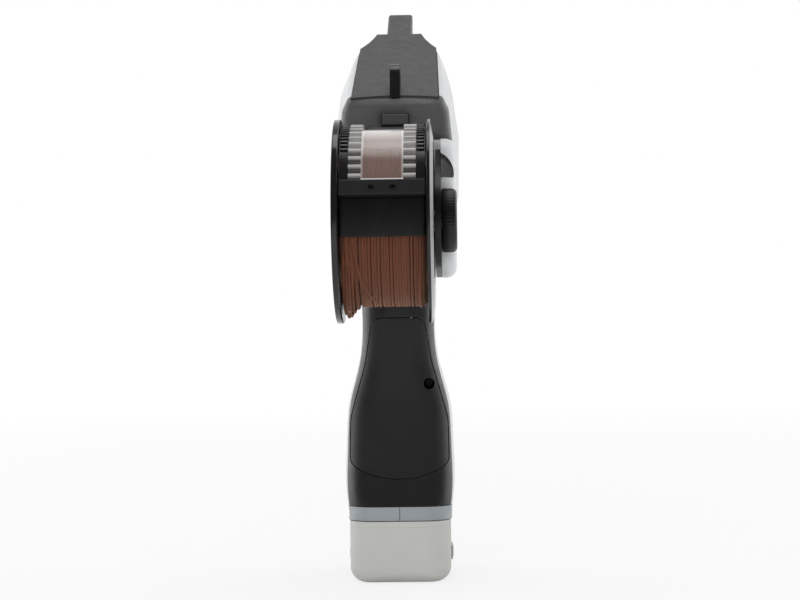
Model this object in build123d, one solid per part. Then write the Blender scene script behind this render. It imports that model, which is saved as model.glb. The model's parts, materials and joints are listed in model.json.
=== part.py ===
from build123d import *
import math
import os

# Electric vine tying tool, standing on its battery.
# Frame: origin at the centre of the battery's underside, +Y towards the jaw, +Z up,
# +X to the right as seen from behind. All sizes are in millimetres.

# Fits, gaps and walls
running = 0.05  # radial clearance of a turning fit
seat = 0.02  # radial clearance of a fixed pin in its seat
slip = 0.3  # gap between pieces that move past each other
reveal = 0.4  # groove that shows between two skin panels
wall = 2.4  # housing wall
far = 90.0  # reach of cutting tools, past every outer face

# Battery: a base outside the handle and a stem of four cells inside it
battery_width = 53.0
battery_length = 76.0
battery_height = 32.4
battery_corner = 12.0
battery_toe = 8.0
battery_wall = 2.2
battery_floor = 3.0
flange_thick = 3.0
cell_radius = 9.2
cell_length = 65.0
cell_gap = 0.4
stem_wall = 1.6
blade_height = 7.0
blade_length = 8.0
blade_thick = 0.8
blade_pitch = 9.0
latch_length = 18.0
latch_height = 7.0
latch_z = 12.5
latch_proud = 0.8
latch_lip = 1.1
latch_overlap = 2.0
terminal_height = 9.0
terminal_width = 30.0
terminal_depth = 22.0

# Handle: height of the bottle-shaped grip between the battery and the head
handle_height = 119.3
collar_height = 7.5
rib_thick = 2.4
grip_front_y = -5.0
strap_top = 105.8
strap_neck = 82.3
strap_hip = 53.3
strap_low = 29.6
strap_foot = 21.8
strap_top_half = 13.6
strap_neck_half = 17.3
strap_hip_half = 25.5
strap_low_half = 26.0
strap_screw_x = 16.0
strap_screw_rise = 71.0
over_depth = 10.0  # how far round the handle's back the overmould reaches
seam_half = 0.2
seam_depth = 0.5

# Head: the cover's top plane climbs forward at the tilt angle
tilt = 24.3
cover_rear_y = -25.0
cover_rear_rise = 102.0
cover_depth = 3.2
cover_raise = 0.8
cover_bow = 3.0
cover_rear_half = 23.0
cover_step_half = 21.5
cover_step_y = 54.0
cover_waist_half = 16.3
cover_waist_y = 66.0
cover_front_half = 12.8
head_rear_y = -27.0
head_front_y = 79.0
rear_edge_round = 4.0
panel_rise = 80.5
panel_front_y = -20.0

# Slanting vents in both sides of the head
vent_count = 5
vent_rear_y = 23.0
vent_front_y = 35.0
vent_rise = 68.0
vent_pitch = 4.6
vent_height = 1.8

# Screws that join the housing halves
screw_radius = 1.5
screw_head_radius = 2.6
screw_head_height = 2.4
screw_reach = 9.0
boss_radius = 4.0

# Hanging eye on the cover
eye_thick = 5.4
eye_radius = 8.5
eye_bore = 4.0
eye_y = -15.0
eye_rise = 113.0
eye_foot = 9.5

# Reel of tying wire and its bracket
reel_x = -4.0
reel_y = -80.0
reel_rise = 35.5
reel_width = 42.6
reel_radius = 51.0
reel_flange = 3.2
flange_round = 0.6
rim_slope = 1.5
rim_slope_width = 8.0
reel_hole_radius = 6.5
reel_hole_circle = 36.0
reel_holes = 4
core_radius = 20.0
bush_radius = 8.0
bush_length = 8.0
spindle_radius = 5.0
winding_radius = 43.0
wire_diameter = 1.3
wire_pitch = 1.75
retainer_radius = 7.5
retainer_thick = 1.8
bracket_gap = 0.5
bracket_thick = 3.0
bracket_radius = 24.0
bracket_front_y = -36.0
bracket_screw_rise = 18.0
knob_radius = 16.0
knob_width = 7.6
knob_bevel = 2.0
knob_stud_radius = 4.0
knob_flutes = 16
knob_flute_radius = 1.8
knob_flute_depth = 0.8

# Arm of the right housing that carries the reel bracket
arm_width = 7.5
arm_front_y = -13.0
arm_rear_y = -72.0
arm_low_rise = 7.5
arm_high_rise = 78.0
arm_round = 5.5

# Reel guard
guard_inner = 44.2
guard_window = 45.6
guard_collar = 47.4
guard_rib = 0.9
guard_rib_pitch = 6.2
window_half = 16.3
window_smooth_half = 10.2
window_low_angle = 22.5
window_high_angle = 98.0
crossbar_angle = 17.4
crossbar_height = 7.5
crossbar_outer = 49.4
flap_inner = 43.9
flap_thick = 1.4
flap_low_angle = -11.5
guard_screw_pitch = 10.4
guard_screw_radius = 1.4
hinge_y = -36.0
hinge_pin_radius = 1.5
knuckle_radius = 4.0
lug_half = 10.0

# Tying head: mouth centre, twister axis and swinging hook
mouth_y = 95.0
mouth_rise = 125.0
mouth_radius = 17.0
hook_depth = 6.5
hook_thick = 8.0
hook_start = -110.0
hook_end = 62.0
jaw_open = 55.0
jaw_y = 62.0
jaw_rise = 100.0
jaw_pin_radius = 2.5
hub_radius = 5.6
hook_arm_radius = 4.0
jaw_slot_drop = 16.0
jaw_slot_lift = 12.0
sector_margin = 12.0
cheek_round = 5.5
gear_module = 1.0
gear_backlash = 0.86
gear_pressure = 20.0
gear_addendum = 0.9
gear_dedendum = 1.15
hook_groove = 2.4
gear_width = 3.6
sector_teeth = 20
idler_teeth = 16
pinion_teeth = 12
idler_angle = -120.0
pinion_angle = 200.0
idler_pin_radius = 2.0
cheek_thick = 2.2
cheek_gap = 0.4
jaw_motor_radius = 7.5
jaw_motor_length = 9.5
nose_half = 7.1
nose_length = 40.5

# Twister drive, along the tilted axis
twist_motor_radius = 12.0
twist_motor_length = 34.0
twist_gearbox_radius = 9.0
twist_gearbox_length = 16.0
twist_shaft_radius = 3.0
twist_shaft_front = -12.0
twist_shaft_length = 42.0
twist_bearing_radius = 4.5
twist_bearing_width = 4.0
twist_bearing_front = -28.0
twist_hook_radius = 4.5
twist_hook_length = 11.0
twist_hook_slot = 3.0

# Wire feed
wire_x = -3.4
wire_drop = 6.0
inlet_rise = 50.0
inlet_radius = 5.0
inlet_flange = 7.0
inlet_bore = 2.0
feed_distance = 20.0
feed_roller_radius = 9.0
pinch_roller_radius = 6.0
roller_width = 6.0
roller_gap = 0.4
feed_shaft_radius = 2.5
feed_motor_radius = 11.0
feed_motor_length = 21.0
feed_plate_x = 0.0
feed_plate_thick = 2.4
lever_y = -2.0
lever_rise = 76.0
lever_pin_radius = 1.5
lever_thick = 2.2
tube_radius = 2.0
tube_bore = 1.0
tube_start = 32.0
cutter_radius = 4.0
cutter_length = 7.5
cutter_gap = 0.6

# Controls
button_width = 14.0
button_height = 6.0
button_rise = 91.0
button_proud = 1.6
button_travel = 1.2
board_gap = 4.6
board_thick = 1.6
board_half = 17.0
board_low_rise = 79.0
board_high_rise = 99.0
trigger_y = 17.0
trigger_rise = 7.0
trigger_half = 6.0
trigger_pin_radius = 1.5
trigger_hub = 4.0
switch_front_y = 13.0
switch_depth = 11.0
switch_height = 18.0
switch_drop = 2.0
switch_half = 6.0
plunger_radius = 2.2
plunger_drop = 10.0
trigger_back_y = 20.5

# Heights worked out from the sizes above
collar_z = battery_height + slip
head_z = collar_z + handle_height
cover_rear_z = head_z + cover_rear_rise
reel_z = head_z + reel_rise
mouth_z = head_z + mouth_rise
jaw_z = head_z + jaw_rise
inlet_z = head_z + inlet_rise
cell_floor = battery_floor
stem_half = 2 * cell_radius + cell_gap + stem_wall
stem_top = cell_floor + cell_length + slip + stem_wall
terminal_z = stem_top + 4 * slip
terminal_top = terminal_z + terminal_height
switch_top = head_z - switch_drop
trigger_z = head_z + trigger_rise

parts = {}


# Small helpers
def block(x0, x1, y0, y1, z0, z1):
    """Box between two corners."""
    return Pos((x0 + x1) / 2, (y0 + y1) / 2, (z0 + z1) / 2) * Box(x1 - x0, y1 - y0, z1 - z0)


def rod_x(x0, x1, y, z, radius):
    """Cylinder along X."""
    return Pos((x0 + x1) / 2, y, z) * Rot(0, 90, 0) * Cylinder(radius, x1 - x0)


def rod_y(y0, y1, x, z, radius):
    """Cylinder along Y."""
    return Pos(x, (y0 + y1) / 2, z) * Rot(90, 0, 0) * Cylinder(radius, y1 - y0)


def rod_between(start, end, radius):
    """Cylinder from one point to another."""
    line = Vector(*end) - Vector(*start)
    return Plane(origin=start, z_dir=line) * Pos(0, 0, line.length / 2) * Cylinder(radius, line.length)


def plate_x(face, x0, x1):
    """Plate whose outline is drawn in Y and Z, between two X values."""
    return extrude(Plane.YZ.offset(x0) * face, x1 - x0, dir=(1, 0, 0))


def plate_y(face, y0, y1):
    """Plate whose outline is drawn in X and Z, between two Y values."""
    plane = Plane(origin=(0, y0, 0), x_dir=(1, 0, 0), z_dir=(0, -1, 0))
    return extrude(plane * face, y1 - y0, dir=(0, 1, 0))


def polygon(*points):
    """Face with straight edges."""
    return make_face(Polyline(*points, close=True))


def link(p, p_radius, q, q_radius):
    """Outline that wraps two circles."""
    first = Pos(*p) * Circle(p_radius)
    second = Pos(*q) * Circle(q_radius)
    return make_hull(first.edges() + second.edges())


def around(centre, radius, angle):
    """Point on a circle in Y and Z, with the angle counted from +Y towards +Z."""
    turn = math.radians(angle)
    return (centre[0] + radius * math.cos(turn), centre[1] + radius * math.sin(turn))


def ring_sector(centre, inner, outer, start, end):
    """Part of a ring between two angles."""
    middle = (start + end) / 2
    inside = ThreePointArc(
        around(centre, inner, start), around(centre, inner, middle), around(centre, inner, end)
    )
    outside = ThreePointArc(
        around(centre, outer, start), around(centre, outer, middle), around(centre, outer, end)
    )
    return make_face([inside, Line(inside @ 1, outside @ 1), outside, Line(inside @ 0, outside @ 0)])


def reel_angle(rise):
    """Angle in Y and Z of a direction that climbs by rise degrees from straight back."""
    return 180.0 - rise


# Outer form of the housing
# Each handle row: height, half width, rear Y, front Y, corner radius
handle_rows = [
    (collar_z, 27.3, -37.0, 36.0, 15.0),
    (collar_z + collar_height, 27.6, -36.0, 35.0, 15.0),
    (collar_z + 22.6, 28.9, -33.0, 32.0, 16.0),
    (collar_z + 39.6, 28.4, -30.5, 29.0, 16.0),
    (collar_z + 61.6, 26.8, -28.0, 25.0, 16.0),
    (collar_z + 73.6, 23.6, -27.3, 23.5, 15.5),
    (collar_z + 83.1, 21.1, -27.0, 22.5, 14.5),
    (head_z - 15.0, 19.3, -27.0, 22.0, 13.5),
    (head_z + 10.0, 20.0, -26.0, 22.5, 14.0),
    (head_z + 30.0, 21.0, -25.0, 23.0, 14.0),
]
# Each head row: Y, top half width, shoulder half width and drop, then half width and rise above the
# head's datum at the waist, the low corner and the base
head_rows = [
    (head_rear_y, 24.5, 27.5, 8.0, 28.0, 78.0, 27.0, 50.0, 15.0, 10.0),
    (-15.0, 25.0, 29.0, 8.0, 31.0, 80.0, 30.0, 50.0, 17.0, 6.0),
    (10.0, 25.0, 30.0, 9.0, 33.5, 84.0, 33.0, 52.0, 19.0, 8.0),
    (35.0, 24.0, 27.5, 8.0, 31.0, 94.0, 29.0, 68.0, 14.0, 36.0),
    (55.0, 21.2, 23.6, 6.0, 24.6, 112.0, 20.5, 88.0, 10.0, 63.0),
    (68.0, 16.0, 18.2, 5.0, 19.0, 123.0, 15.5, 104.0, 8.5, 86.0),
    (head_front_y, 12.9, 14.7, 4.5, 15.2, 132.0, 12.5, 118.0, 8.0, 104.0),
]
outer_rounds = [4.0, 5.0, 14.0, 12.0, 6.0]
inner_rounds = [2.0, 3.0, 11.0, 9.0, 4.0]


def cover_z(y):
    """Height of the cover's top plane."""
    return cover_rear_z + (y - cover_rear_y) * math.tan(math.radians(tilt))


def handle_section(row, inset):
    """Rounded rectangle across the handle."""
    z, half, rear, front, corner = row
    face = RectangleRounded(2 * (half - inset), front - rear - 2 * inset, corner - inset)
    return Plane.XY.offset(z) * Pos(0, (rear + front) / 2) * face


def head_section(row, inset, shift):
    """Ten-cornered section across the head, rounded at each corner."""
    y = row[0] + shift
    top_half, shoulder_half, drop = row[1:4]
    waist_half, waist, low_half, low, base_half, base = row[4:]
    right = [
        (top_half - inset / 2, cover_z(y) - inset / math.cos(math.radians(tilt))),
        (shoulder_half - inset, cover_z(y) - drop - inset / 2),
        (waist_half - inset, head_z + waist),
        (low_half - inset, head_z + low),
        (base_half - inset / 2, head_z + base + inset),
    ]
    left = [(-x, z) for x, z in reversed(right)]
    rounds = inner_rounds if inset else outer_rounds
    line = FilletPolyline(*right, *left, radius=rounds + rounds[::-1], close=True)
    return Plane(origin=(0, y, 0), x_dir=(1, 0, 0), z_dir=(0, -1, 0)) * make_face(line)


def head_form(inset):
    """Loft of the head, drawn in by the inset on every side."""
    last = len(head_rows) - 1
    shifts = [inset if k == 0 else -inset if k == last else 0 for k in range(len(head_rows))]
    return loft([head_section(row, inset, shift) for row, shift in zip(head_rows, shifts)])


def handle_form(inset):
    """Loft of the handle; the inner one runs out through the bottom."""
    faces = [handle_section(row, inset) for row in handle_rows]
    form = loft(faces)
    if inset:
        form = form + extrude(faces[0], 2 * inset, dir=(0, 0, -1))
    return form


head_outer = head_form(0)
rear_face = head_outer.faces().sort_by(Axis.Y)[0]
head_outer = fillet(rear_face.edges(), rear_edge_round)
outer = handle_form(0) + head_outer
inner = handle_form(wall) + head_form(wall)

# Axes of the mechanisms
axis_y = math.cos(math.radians(tilt))
axis_z = math.sin(math.radians(tilt))


def along(u):
    """Point on the twister axis, u ahead of the mouth's centre."""
    return (0, mouth_y + u * axis_y, mouth_z + u * axis_z)


def rod_u(u0, u1, radius):
    """Cylinder on the twister axis."""
    return rod_between(along(u0), along(u1), radius)


jaw = (jaw_y, jaw_z)
idler = around(jaw, gear_module * (sector_teeth + idler_teeth) / 2, idler_angle)
pinion = around(idler, gear_module * (idler_teeth + pinion_teeth) / 2, pinion_angle)
hook_half = hook_thick / 2
gear_x0 = hook_half + slip
gear_x1 = gear_x0 + gear_width
cheek_x0 = gear_x1 + cheek_gap
cheek_x1 = cheek_x0 + cheek_thick
left_cheek_x1 = -hook_half - cheek_gap
left_cheek_x0 = left_cheek_x1 - cheek_thick

wire_aim_z = jaw_z - wire_drop
wire_run = math.hypot(jaw_y - head_rear_y, wire_aim_z - inlet_z)
wire_dir = ((jaw_y - head_rear_y) / wire_run, (wire_aim_z - inlet_z) / wire_run)


def wire_point(distance, side=0.0):
    """Point on the wire's line, some way from the inlet, moved square to it by side."""
    y = head_rear_y + distance * wire_dir[0] - side * wire_dir[1]
    return (y, inlet_z + distance * wire_dir[1] + side * wire_dir[0])


feed = wire_point(feed_distance, -feed_roller_radius - roller_gap / 2)
pinch = wire_point(feed_distance, pinch_roller_radius + roller_gap / 2)
lever = (lever_y, head_z + lever_rise)
feed_plate_end = feed_plate_x + feed_plate_thick
tube_end = wire_run - hub_radius - cutter_gap - cutter_length / 2
twist_rear = twist_shaft_front - twist_shaft_length

# Each screw: Y, Z, where the left boss ends and where the right boss ends
screw_places = [
    (28.0, collar_z + 16.0, 0.0, 0.0),
    (8.0, collar_z + 81.6, 0.0, 0.0),
    (36.0, head_z + 47.0, 0.0, 0.0),
    (8.0, head_z + 104.0, 0.0, 0.0),
    (-16.0, head_z + 36.0, feed_plate_x, feed_plate_end),
    (12.5, head_z + 43.0, feed_plate_x, feed_plate_end),
    (57.0, head_z + 117.0, left_cheek_x0, cheek_x1),
]
bulkhead_places = [18.0, 38.0]
board_y = head_rear_y + wall + board_gap
standoff_x = board_half - boss_radius
strap_screw_z = collar_z + strap_screw_rise


def kept_features():
    """Ribs and bosses that stay solid when the housing is hollowed out."""
    kept = []
    for y in bulkhead_places:
        kept.append(block(-far, far, y, y + rib_thick, head_z + 30.0, head_z + 2 * far))
    kept.append(block(-far, far, grip_front_y, far, terminal_top, terminal_top + rib_thick))
    kept.append(block(-far, far, grip_front_y, switch_front_y, switch_top, switch_top + rib_thick))
    for y, z, left, right in screw_places:
        kept.append(rod_x(-far, left, y, z, boss_radius))
        kept.append(rod_x(right, far, y, z, boss_radius))
    inner_side = trigger_half + slip
    kept.append(rod_x(-far, -inner_side, trigger_y, trigger_z, boss_radius))
    kept.append(rod_x(inner_side, far, trigger_y, trigger_z, boss_radius))
    for x in (-standoff_x, standoff_x):
        kept.append(rod_y(head_rear_y, board_y, x, head_z + board_high_rise - boss_radius, boss_radius / 2))
    kept.append(rod_y(-far, -grip_front_y, strap_screw_x, strap_screw_z, boss_radius))
    rib = rib_thick / 2
    kept.append(
        block(strap_screw_x, far, grip_front_y, -grip_front_y, strap_screw_z - rib, strap_screw_z + rib)
    )
    return kept


skin = outer - (inner - kept_features())

# Openings and seats cut through the skin
button_z = head_z + button_rise
strap_head_y = grip_front_y - screw_reach
slot_half = hook_half + 2 * slip
trigger_low_z = head_z - 24.0
trigger_slot_low = trigger_low_z - 2.0
trigger_slot_high = trigger_z + 5.0
jaw_slot_low = jaw_z - jaw_slot_drop
jaw_slot_high = jaw_z + jaw_slot_lift
wire_start = (wire_x, *wire_point(0))
wire_stop = (wire_x, *wire_point(wire_run))
tools = [
    rod_u(twist_rear - twist_gearbox_length - twist_motor_length, twist_rear, twist_gearbox_radius + seat),
    rod_u(
        twist_rear - twist_gearbox_length - twist_motor_length - slip,
        twist_rear - twist_gearbox_length,
        twist_motor_radius + seat,
    ),
    rod_u(twist_bearing_front, 0, twist_hook_radius + 6 * slip),
    rod_between(wire_start, wire_stop, tube_radius + seat),
    rod_x(cheek_x1, cheek_x1 + jaw_motor_length + slip, *pinion, jaw_motor_radius + seat),
    block(
        gear_x0 - 2 * slip,
        cheek_x1 + 2 * slip,
        bulkhead_places[1] - rib_thick,
        bulkhead_places[1] + 2 * rib_thick,
        pinion[1] - jaw_motor_radius,
        idler[1] + gear_module * idler_teeth / 2,
    ),
    block(-slot_half, slot_half, jaw_y - hub_radius, head_front_y + wall, jaw_slot_low, jaw_slot_high),
    block(
        -trigger_half - slip,
        trigger_half + slip,
        switch_front_y + wall,
        far,
        trigger_slot_low,
        trigger_slot_high,
    ),
    rod_x(
        -trigger_half - boss_radius,
        trigger_half + boss_radius,
        trigger_y,
        trigger_z,
        trigger_pin_radius + seat,
    ),
    rod_y(head_rear_y - wall, head_rear_y + 3 * wall, wire_x, inlet_z, inlet_radius + seat),
    block(
        -button_width / 2 - slip,
        button_width / 2 + slip,
        head_rear_y - wall,
        head_rear_y + 2 * wall,
        button_z - button_height / 2 - slip,
        button_z + button_height / 2 + slip,
    ),
    rod_y(-far, strap_head_y, strap_screw_x, strap_screw_z, screw_head_radius + slip),
    rod_y(strap_head_y, -grip_front_y, strap_screw_x, strap_screw_z, screw_radius + seat),
]
for k in range(vent_count):
    vent_z = head_z + vent_rise + vent_pitch * k
    vent_end = vent_z + (vent_front_y - vent_rear_y) * math.tan(math.radians(tilt))
    slot = polygon(
        (vent_rear_y, vent_z),
        (vent_front_y, vent_end),
        (vent_front_y, vent_end + vent_height),
        (vent_rear_y, vent_z + vent_height),
    )
    tools.append(plate_x(slot, -far, far))
for y, z, left, right in screw_places:
    tools.append(rod_x(right + screw_reach, far, y, z, screw_head_radius + slip))
    tools.append(rod_x(left - screw_reach, right + screw_reach, y, z, screw_radius + seat))
skin = skin - tools


def above_roof(rise):
    """Everything over a plane that lies parallel to the roof, higher by rise."""
    lift = rise / math.cos(math.radians(tilt))
    low = cover_z(-far) + lift
    high = cover_z(2 * far) + lift
    side_face = polygon((-far, low), (2 * far, high), (2 * far, high + far), (-far, high + far))
    return plate_x(side_face, -far, far)


def cover_side(side):
    """Edges of the cover's plan on one side: straight from the rear, then a hollow arc to the nose."""
    step = (side * cover_step_half, cover_step_y)
    waist = (side * cover_waist_half, cover_waist_y)
    return [
        Line((side * cover_rear_half, cover_rear_y), step),
        ThreePointArc(step, waist, (side * cover_front_half, head_front_y)),
    ]


rear_bow = ThreePointArc(
    (-cover_rear_half, cover_rear_y), (0, cover_rear_y + cover_bow), (cover_rear_half, cover_rear_y)
)
front_line = Line((-cover_front_half, head_front_y), (cover_front_half, head_front_y))
cover_plan = make_face([rear_bow, *cover_side(1), front_line, *cover_side(-1)])


def cover_zone(gap):
    """Inside the cover's plan and over its parting plane."""
    plan = offset(cover_plan, amount=gap) if gap else cover_plan
    return extrude(plan, 5 * far) & above_roof(-cover_depth - gap)


def panel_zone(gap):
    """The rear of the head above the panel's lower seam."""
    return block(-far, far, -far, panel_front_y + gap, head_z + panel_rise - gap, head_z + 2 * far)


def grip_zone(gap):
    """The rear half of the handle between the collar and the head."""
    return block(-far, far, -far, grip_front_y + gap, collar_z + collar_height - gap, head_z + gap)


def over_zone(gap):
    """Rear of the handle that the overmould covers; its front edge follows the handle's back."""
    rows = handle_rows[1:8]
    edge = [(rear + over_depth + gap, z) for z, half, rear, front, corner in rows]
    low = collar_z + collar_height - gap
    top = head_z + gap
    first = (edge[0][0], low)
    last = (edge[-1][0], top)
    return plate_x(polygon((-far, low), first, *edge[1:], last, (-far, top)), -far, far)


def strap_outline():
    """Bottle-shaped outline of the backstrap, in X and Z."""
    low = collar_z + strap_low
    right = [
        (strap_top_half, collar_z + strap_top),
        (strap_neck_half, collar_z + strap_neck),
        (strap_hip_half, collar_z + strap_hip),
        (strap_low_half, low),
    ]
    left = [(-x, z) for x, z in reversed(right)]
    side = Polyline(*left, *right)
    foot = ThreePointArc((strap_low_half, low), (0, collar_z + strap_foot), (-strap_low_half, low))
    face = make_face([*side.edges(), foot])
    for height, radius in ((strap_top, 6.0), (strap_neck, 40.0), (strap_hip, 30.0), (strap_low, 6.0)):
        corners = [v for v in face.vertices() if abs(v.Y - collar_z - height) < 0.01]
        face = fillet(corners, radius)
    return face


strap_face = strap_outline()
cover_cap = extrude(cover_plan, 5 * far) & above_roof(-2 * slip)
parts["top_cover"] = (skin & cover_zone(0)) + (cover_cap - above_roof(cover_raise))
parts["rear_panel"] = (skin & panel_zone(0)) - cover_zone(reveal)
grip_skin = skin & grip_zone(0)
parts["grip_backstrap"] = grip_skin & plate_y(strap_face, -far, 0)
strap_zone = plate_y(offset(strap_face, amount=reveal), -far, 0)
parts["grip_overmould"] = (skin & over_zone(0)) - strap_zone
seam_form = handle_form(seam_depth) + head_form(seam_depth)
seam = block(-seam_half, seam_half, -2 * far, 2 * far, 0, 5 * far) - seam_form
shells = skin - [
    cover_zone(reveal),
    panel_zone(reveal),
    over_zone(reveal),
    strap_zone & grip_zone(reveal),
    seam,
]
parts["left_housing"] = shells & block(-far, 0, -2 * far, 2 * far, 0, 5 * far)
right_shell = shells & block(0, far, -2 * far, 2 * far, 0, 5 * far)

# Arm of the right housing, open at its rear end above the knob
reel_half = reel_width / 2
flange_right = reel_x + reel_half + reel_flange
flange_left = reel_x - reel_half - reel_flange
bracket_x0 = flange_right + bracket_gap
bracket_x1 = bracket_x0 + bracket_thick
arm_x1 = bracket_x1 + arm_width
arm_low = head_z + arm_low_rise
arm_high = head_z + arm_high_rise
bracket_screw_y = bracket_front_y - boss_radius
bracket_spots = [
    (bracket_screw_y, reel_z - bracket_screw_rise),
    (bracket_screw_y, reel_z + bracket_screw_rise),
]
arm_outline = make_face(
    FilletPolyline(
        (arm_front_y, arm_low),
        (arm_front_y, arm_high),
        (arm_rear_y, arm_high),
        (arm_rear_y, arm_low),
        radius=[0, 0, 12.0, 10.0],
        close=True,
    )
)
arm = plate_x(arm_outline, bracket_x1, arm_x1)
arm = fillet(arm.faces().sort_by(Axis.X)[-1].edges(), arm_round)
knob_x0 = bracket_x1 + slip
knob_x1 = knob_x0 + knob_width
arm_band_low = reel_z + knob_radius + 1.0
arm_band_high = arm_band_low + 5.0
arm_arch_high = arm_high - 8.0
arch_right = arm_x1 - wall / 2
arch_face = make_face(
    [
        Line((bracket_x1, arm_band_high), (arch_right, arm_band_high)),
        ThreePointArc(
            (arch_right, arm_band_high),
            (bracket_x1 + 0.75 * (arch_right - bracket_x1), (arm_band_high + arm_arch_high) / 2 + 2.0),
            (bracket_x1, arm_arch_high),
        ),
        Line((bracket_x1, arm_arch_high), (bracket_x1, arm_band_high)),
    ]
)
arm_pocket = block(
    bracket_x1,
    arm_x1 - wall,
    reel_y + knob_radius + 2 * wall,
    head_rear_y - wall,
    arm_low + 2 * wall,
    arm_band_low - wall,
)
arm = arm - [
    inner,
    rod_x(bracket_x1, far, reel_y, reel_z, knob_radius + 1.0),
    plate_y(arch_face, -far, head_rear_y - wall),
    arm_pocket - [rod_x(bracket_x1, far, *spot, boss_radius) for spot in bracket_spots],
]
parts["right_housing"] = right_shell + arm

# Screws
parts["housing_screws"] = Part() + [
    rod_x(left - screw_reach, right + screw_reach, y, z, screw_radius)
    + rod_x(right + screw_reach, right + screw_reach + screw_head_height, y, z, screw_head_radius)
    for y, z, left, right in screw_places
]
parts["backstrap_screw"] = rod_y(
    strap_head_y - screw_head_height, strap_head_y, strap_screw_x, strap_screw_z, screw_head_radius
) + rod_y(strap_head_y, -grip_front_y - wall, strap_screw_x, strap_screw_z, screw_radius)

# Hanging eye: a plate on the cover with a round hole
eye_z = head_z + eye_rise
eye_rear = eye_y - eye_foot
eye_front = eye_y + eye_foot
eye_foot_line = Line((eye_rear, cover_z(eye_rear)), (eye_front, cover_z(eye_front)))
eye_face = make_hull((Pos(eye_y, eye_z) * Circle(eye_radius)).edges() + eye_foot_line.edges())
eye = plate_x(eye_face, -eye_thick / 2, eye_thick / 2) & above_roof(cover_raise)
parts["hanging_eye"] = eye - rod_x(-eye_thick, eye_thick, eye_y, eye_z, eye_bore)

# Nose: the fixed upper jaw
nose_tip_y = head_front_y + nose_length
nose_raise = cover_raise / math.cos(math.radians(tilt))
nose_face = make_face(
    FilletPolyline(
        (head_front_y, mouth_z + 8.2),
        (mouth_y - 3.0, mouth_z + mouth_radius + slip),
        (mouth_y + 14.0, mouth_z + mouth_radius + hook_depth),
        (nose_tip_y, mouth_z + 30.0),
        (nose_tip_y, cover_z(nose_tip_y) + nose_raise),
        (head_front_y, cover_z(head_front_y) + nose_raise),
        radius=[0, 12.0, 5.0, 4.0, 4.0, 0],
        close=True,
    )
)
nose = plate_x(nose_face, -nose_half, nose_half)
nose_edges = nose.faces().sort_by(Axis.X)[-1].edges() + nose.faces().sort_by(Axis.X)[0].edges()
parts["nose"] = fillet([e for e in nose_edges if e.center().Y > head_front_y + slip], 1.5)


# Jaw drive
def gear_face(teeth, phase):
    """Straight-flanked gear about the origin, with a tooth centred on the phase angle."""
    pitch_radius = gear_module * teeth / 2
    half_tooth = 90.0 / teeth * gear_backlash
    flank = math.degrees(math.tan(math.radians(gear_pressure)) / pitch_radius)
    root = pitch_radius - gear_module * gear_dedendum
    tip = pitch_radius + gear_module * gear_addendum
    root_half = half_tooth + flank * (pitch_radius - root)
    tip_half = half_tooth - flank * (tip - pitch_radius)
    points = []
    for k in range(teeth):
        middle = phase + 360.0 * k / teeth
        points.append(around((0, 0), root, middle - root_half))
        points.append(around((0, 0), tip, middle - tip_half))
        points.append(around((0, 0), tip, middle + tip_half))
        points.append(around((0, 0), root, middle + root_half))
    return polygon(*points)


def mesh_phase(phase, teeth, other_teeth, direction):
    """Phase of a gear in mesh with another one, which lies back along the direction angle."""
    pitch = 360.0 / teeth
    lead = (phase - direction + pitch / 2) % pitch - pitch / 2
    return direction + 180.0 - lead * teeth / other_teeth + 180.0 / other_teeth


mouth = (mouth_y, mouth_z)
hook_mid = mouth_radius + hook_depth / 2
hook_root = around(mouth, hook_mid, hook_start)
hook_tip = around(mouth, hook_mid, hook_end)
hook_ring = ring_sector(mouth, mouth_radius, mouth_radius + hook_depth, hook_start, hook_end)
hook = plate_x(hook_ring, -hook_half, hook_half)
hook = hook + rod_x(-hook_half, hook_half, *hook_tip, hook_depth / 2)
hook = hook + plate_x(link(jaw, hook_arm_radius, hook_root, hook_depth / 2), -hook_half, hook_half)
hook = hook + rod_x(-hook_half, hook_half, *jaw, hub_radius)
groove = ring_sector(mouth, mouth_radius - 1.0, mouth_radius + hook_groove, hook_start, hook_end)
hook = hook - plate_x(groove, -hook_groove / 2, hook_groove / 2)
hook = hook.rotate(Axis((0, jaw_y, jaw_z), (1, 0, 0)), -jaw_open)
wedge_low = idler_angle - jaw_open - sector_margin
wedge_high = idler_angle + sector_margin
wedge_reach = 3 * hub_radius
wedge = polygon(
    jaw,
    around(jaw, wedge_reach, wedge_low),
    around(jaw, wedge_reach, (wedge_low + wedge_high) / 2),
    around(jaw, wedge_reach, wedge_high),
)
sector_face = (Pos(*jaw) * gear_face(sector_teeth, idler_angle)) & wedge
hook = hook + plate_x(sector_face, hook_half, gear_x1) + rod_x(hook_half, gear_x1, *jaw, hub_radius)
parts["jaw_hook"] = hook - rod_x(-far, far, *jaw, jaw_pin_radius + running)
parts["jaw_pin"] = rod_x(left_cheek_x0, cheek_x1, *jaw, jaw_pin_radius)

idler_phase = mesh_phase(idler_angle, sector_teeth, idler_teeth, idler_angle)
pinion_phase = mesh_phase(idler_phase, idler_teeth, pinion_teeth, pinion_angle)
idler_gear = plate_x(Pos(*idler) * gear_face(idler_teeth, idler_phase), gear_x0, gear_x1)
parts["jaw_idler_gear"] = idler_gear - rod_x(0, far, *idler, idler_pin_radius + running)
pinion_gear = plate_x(Pos(*pinion) * gear_face(pinion_teeth, pinion_phase), gear_x0, gear_x1)
parts["jaw_pinion"] = pinion_gear + rod_x(gear_x1, cheek_x1 - running, *pinion, idler_pin_radius)
parts["jaw_motor"] = rod_x(cheek_x1, cheek_x1 + jaw_motor_length, *pinion, jaw_motor_radius)

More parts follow.
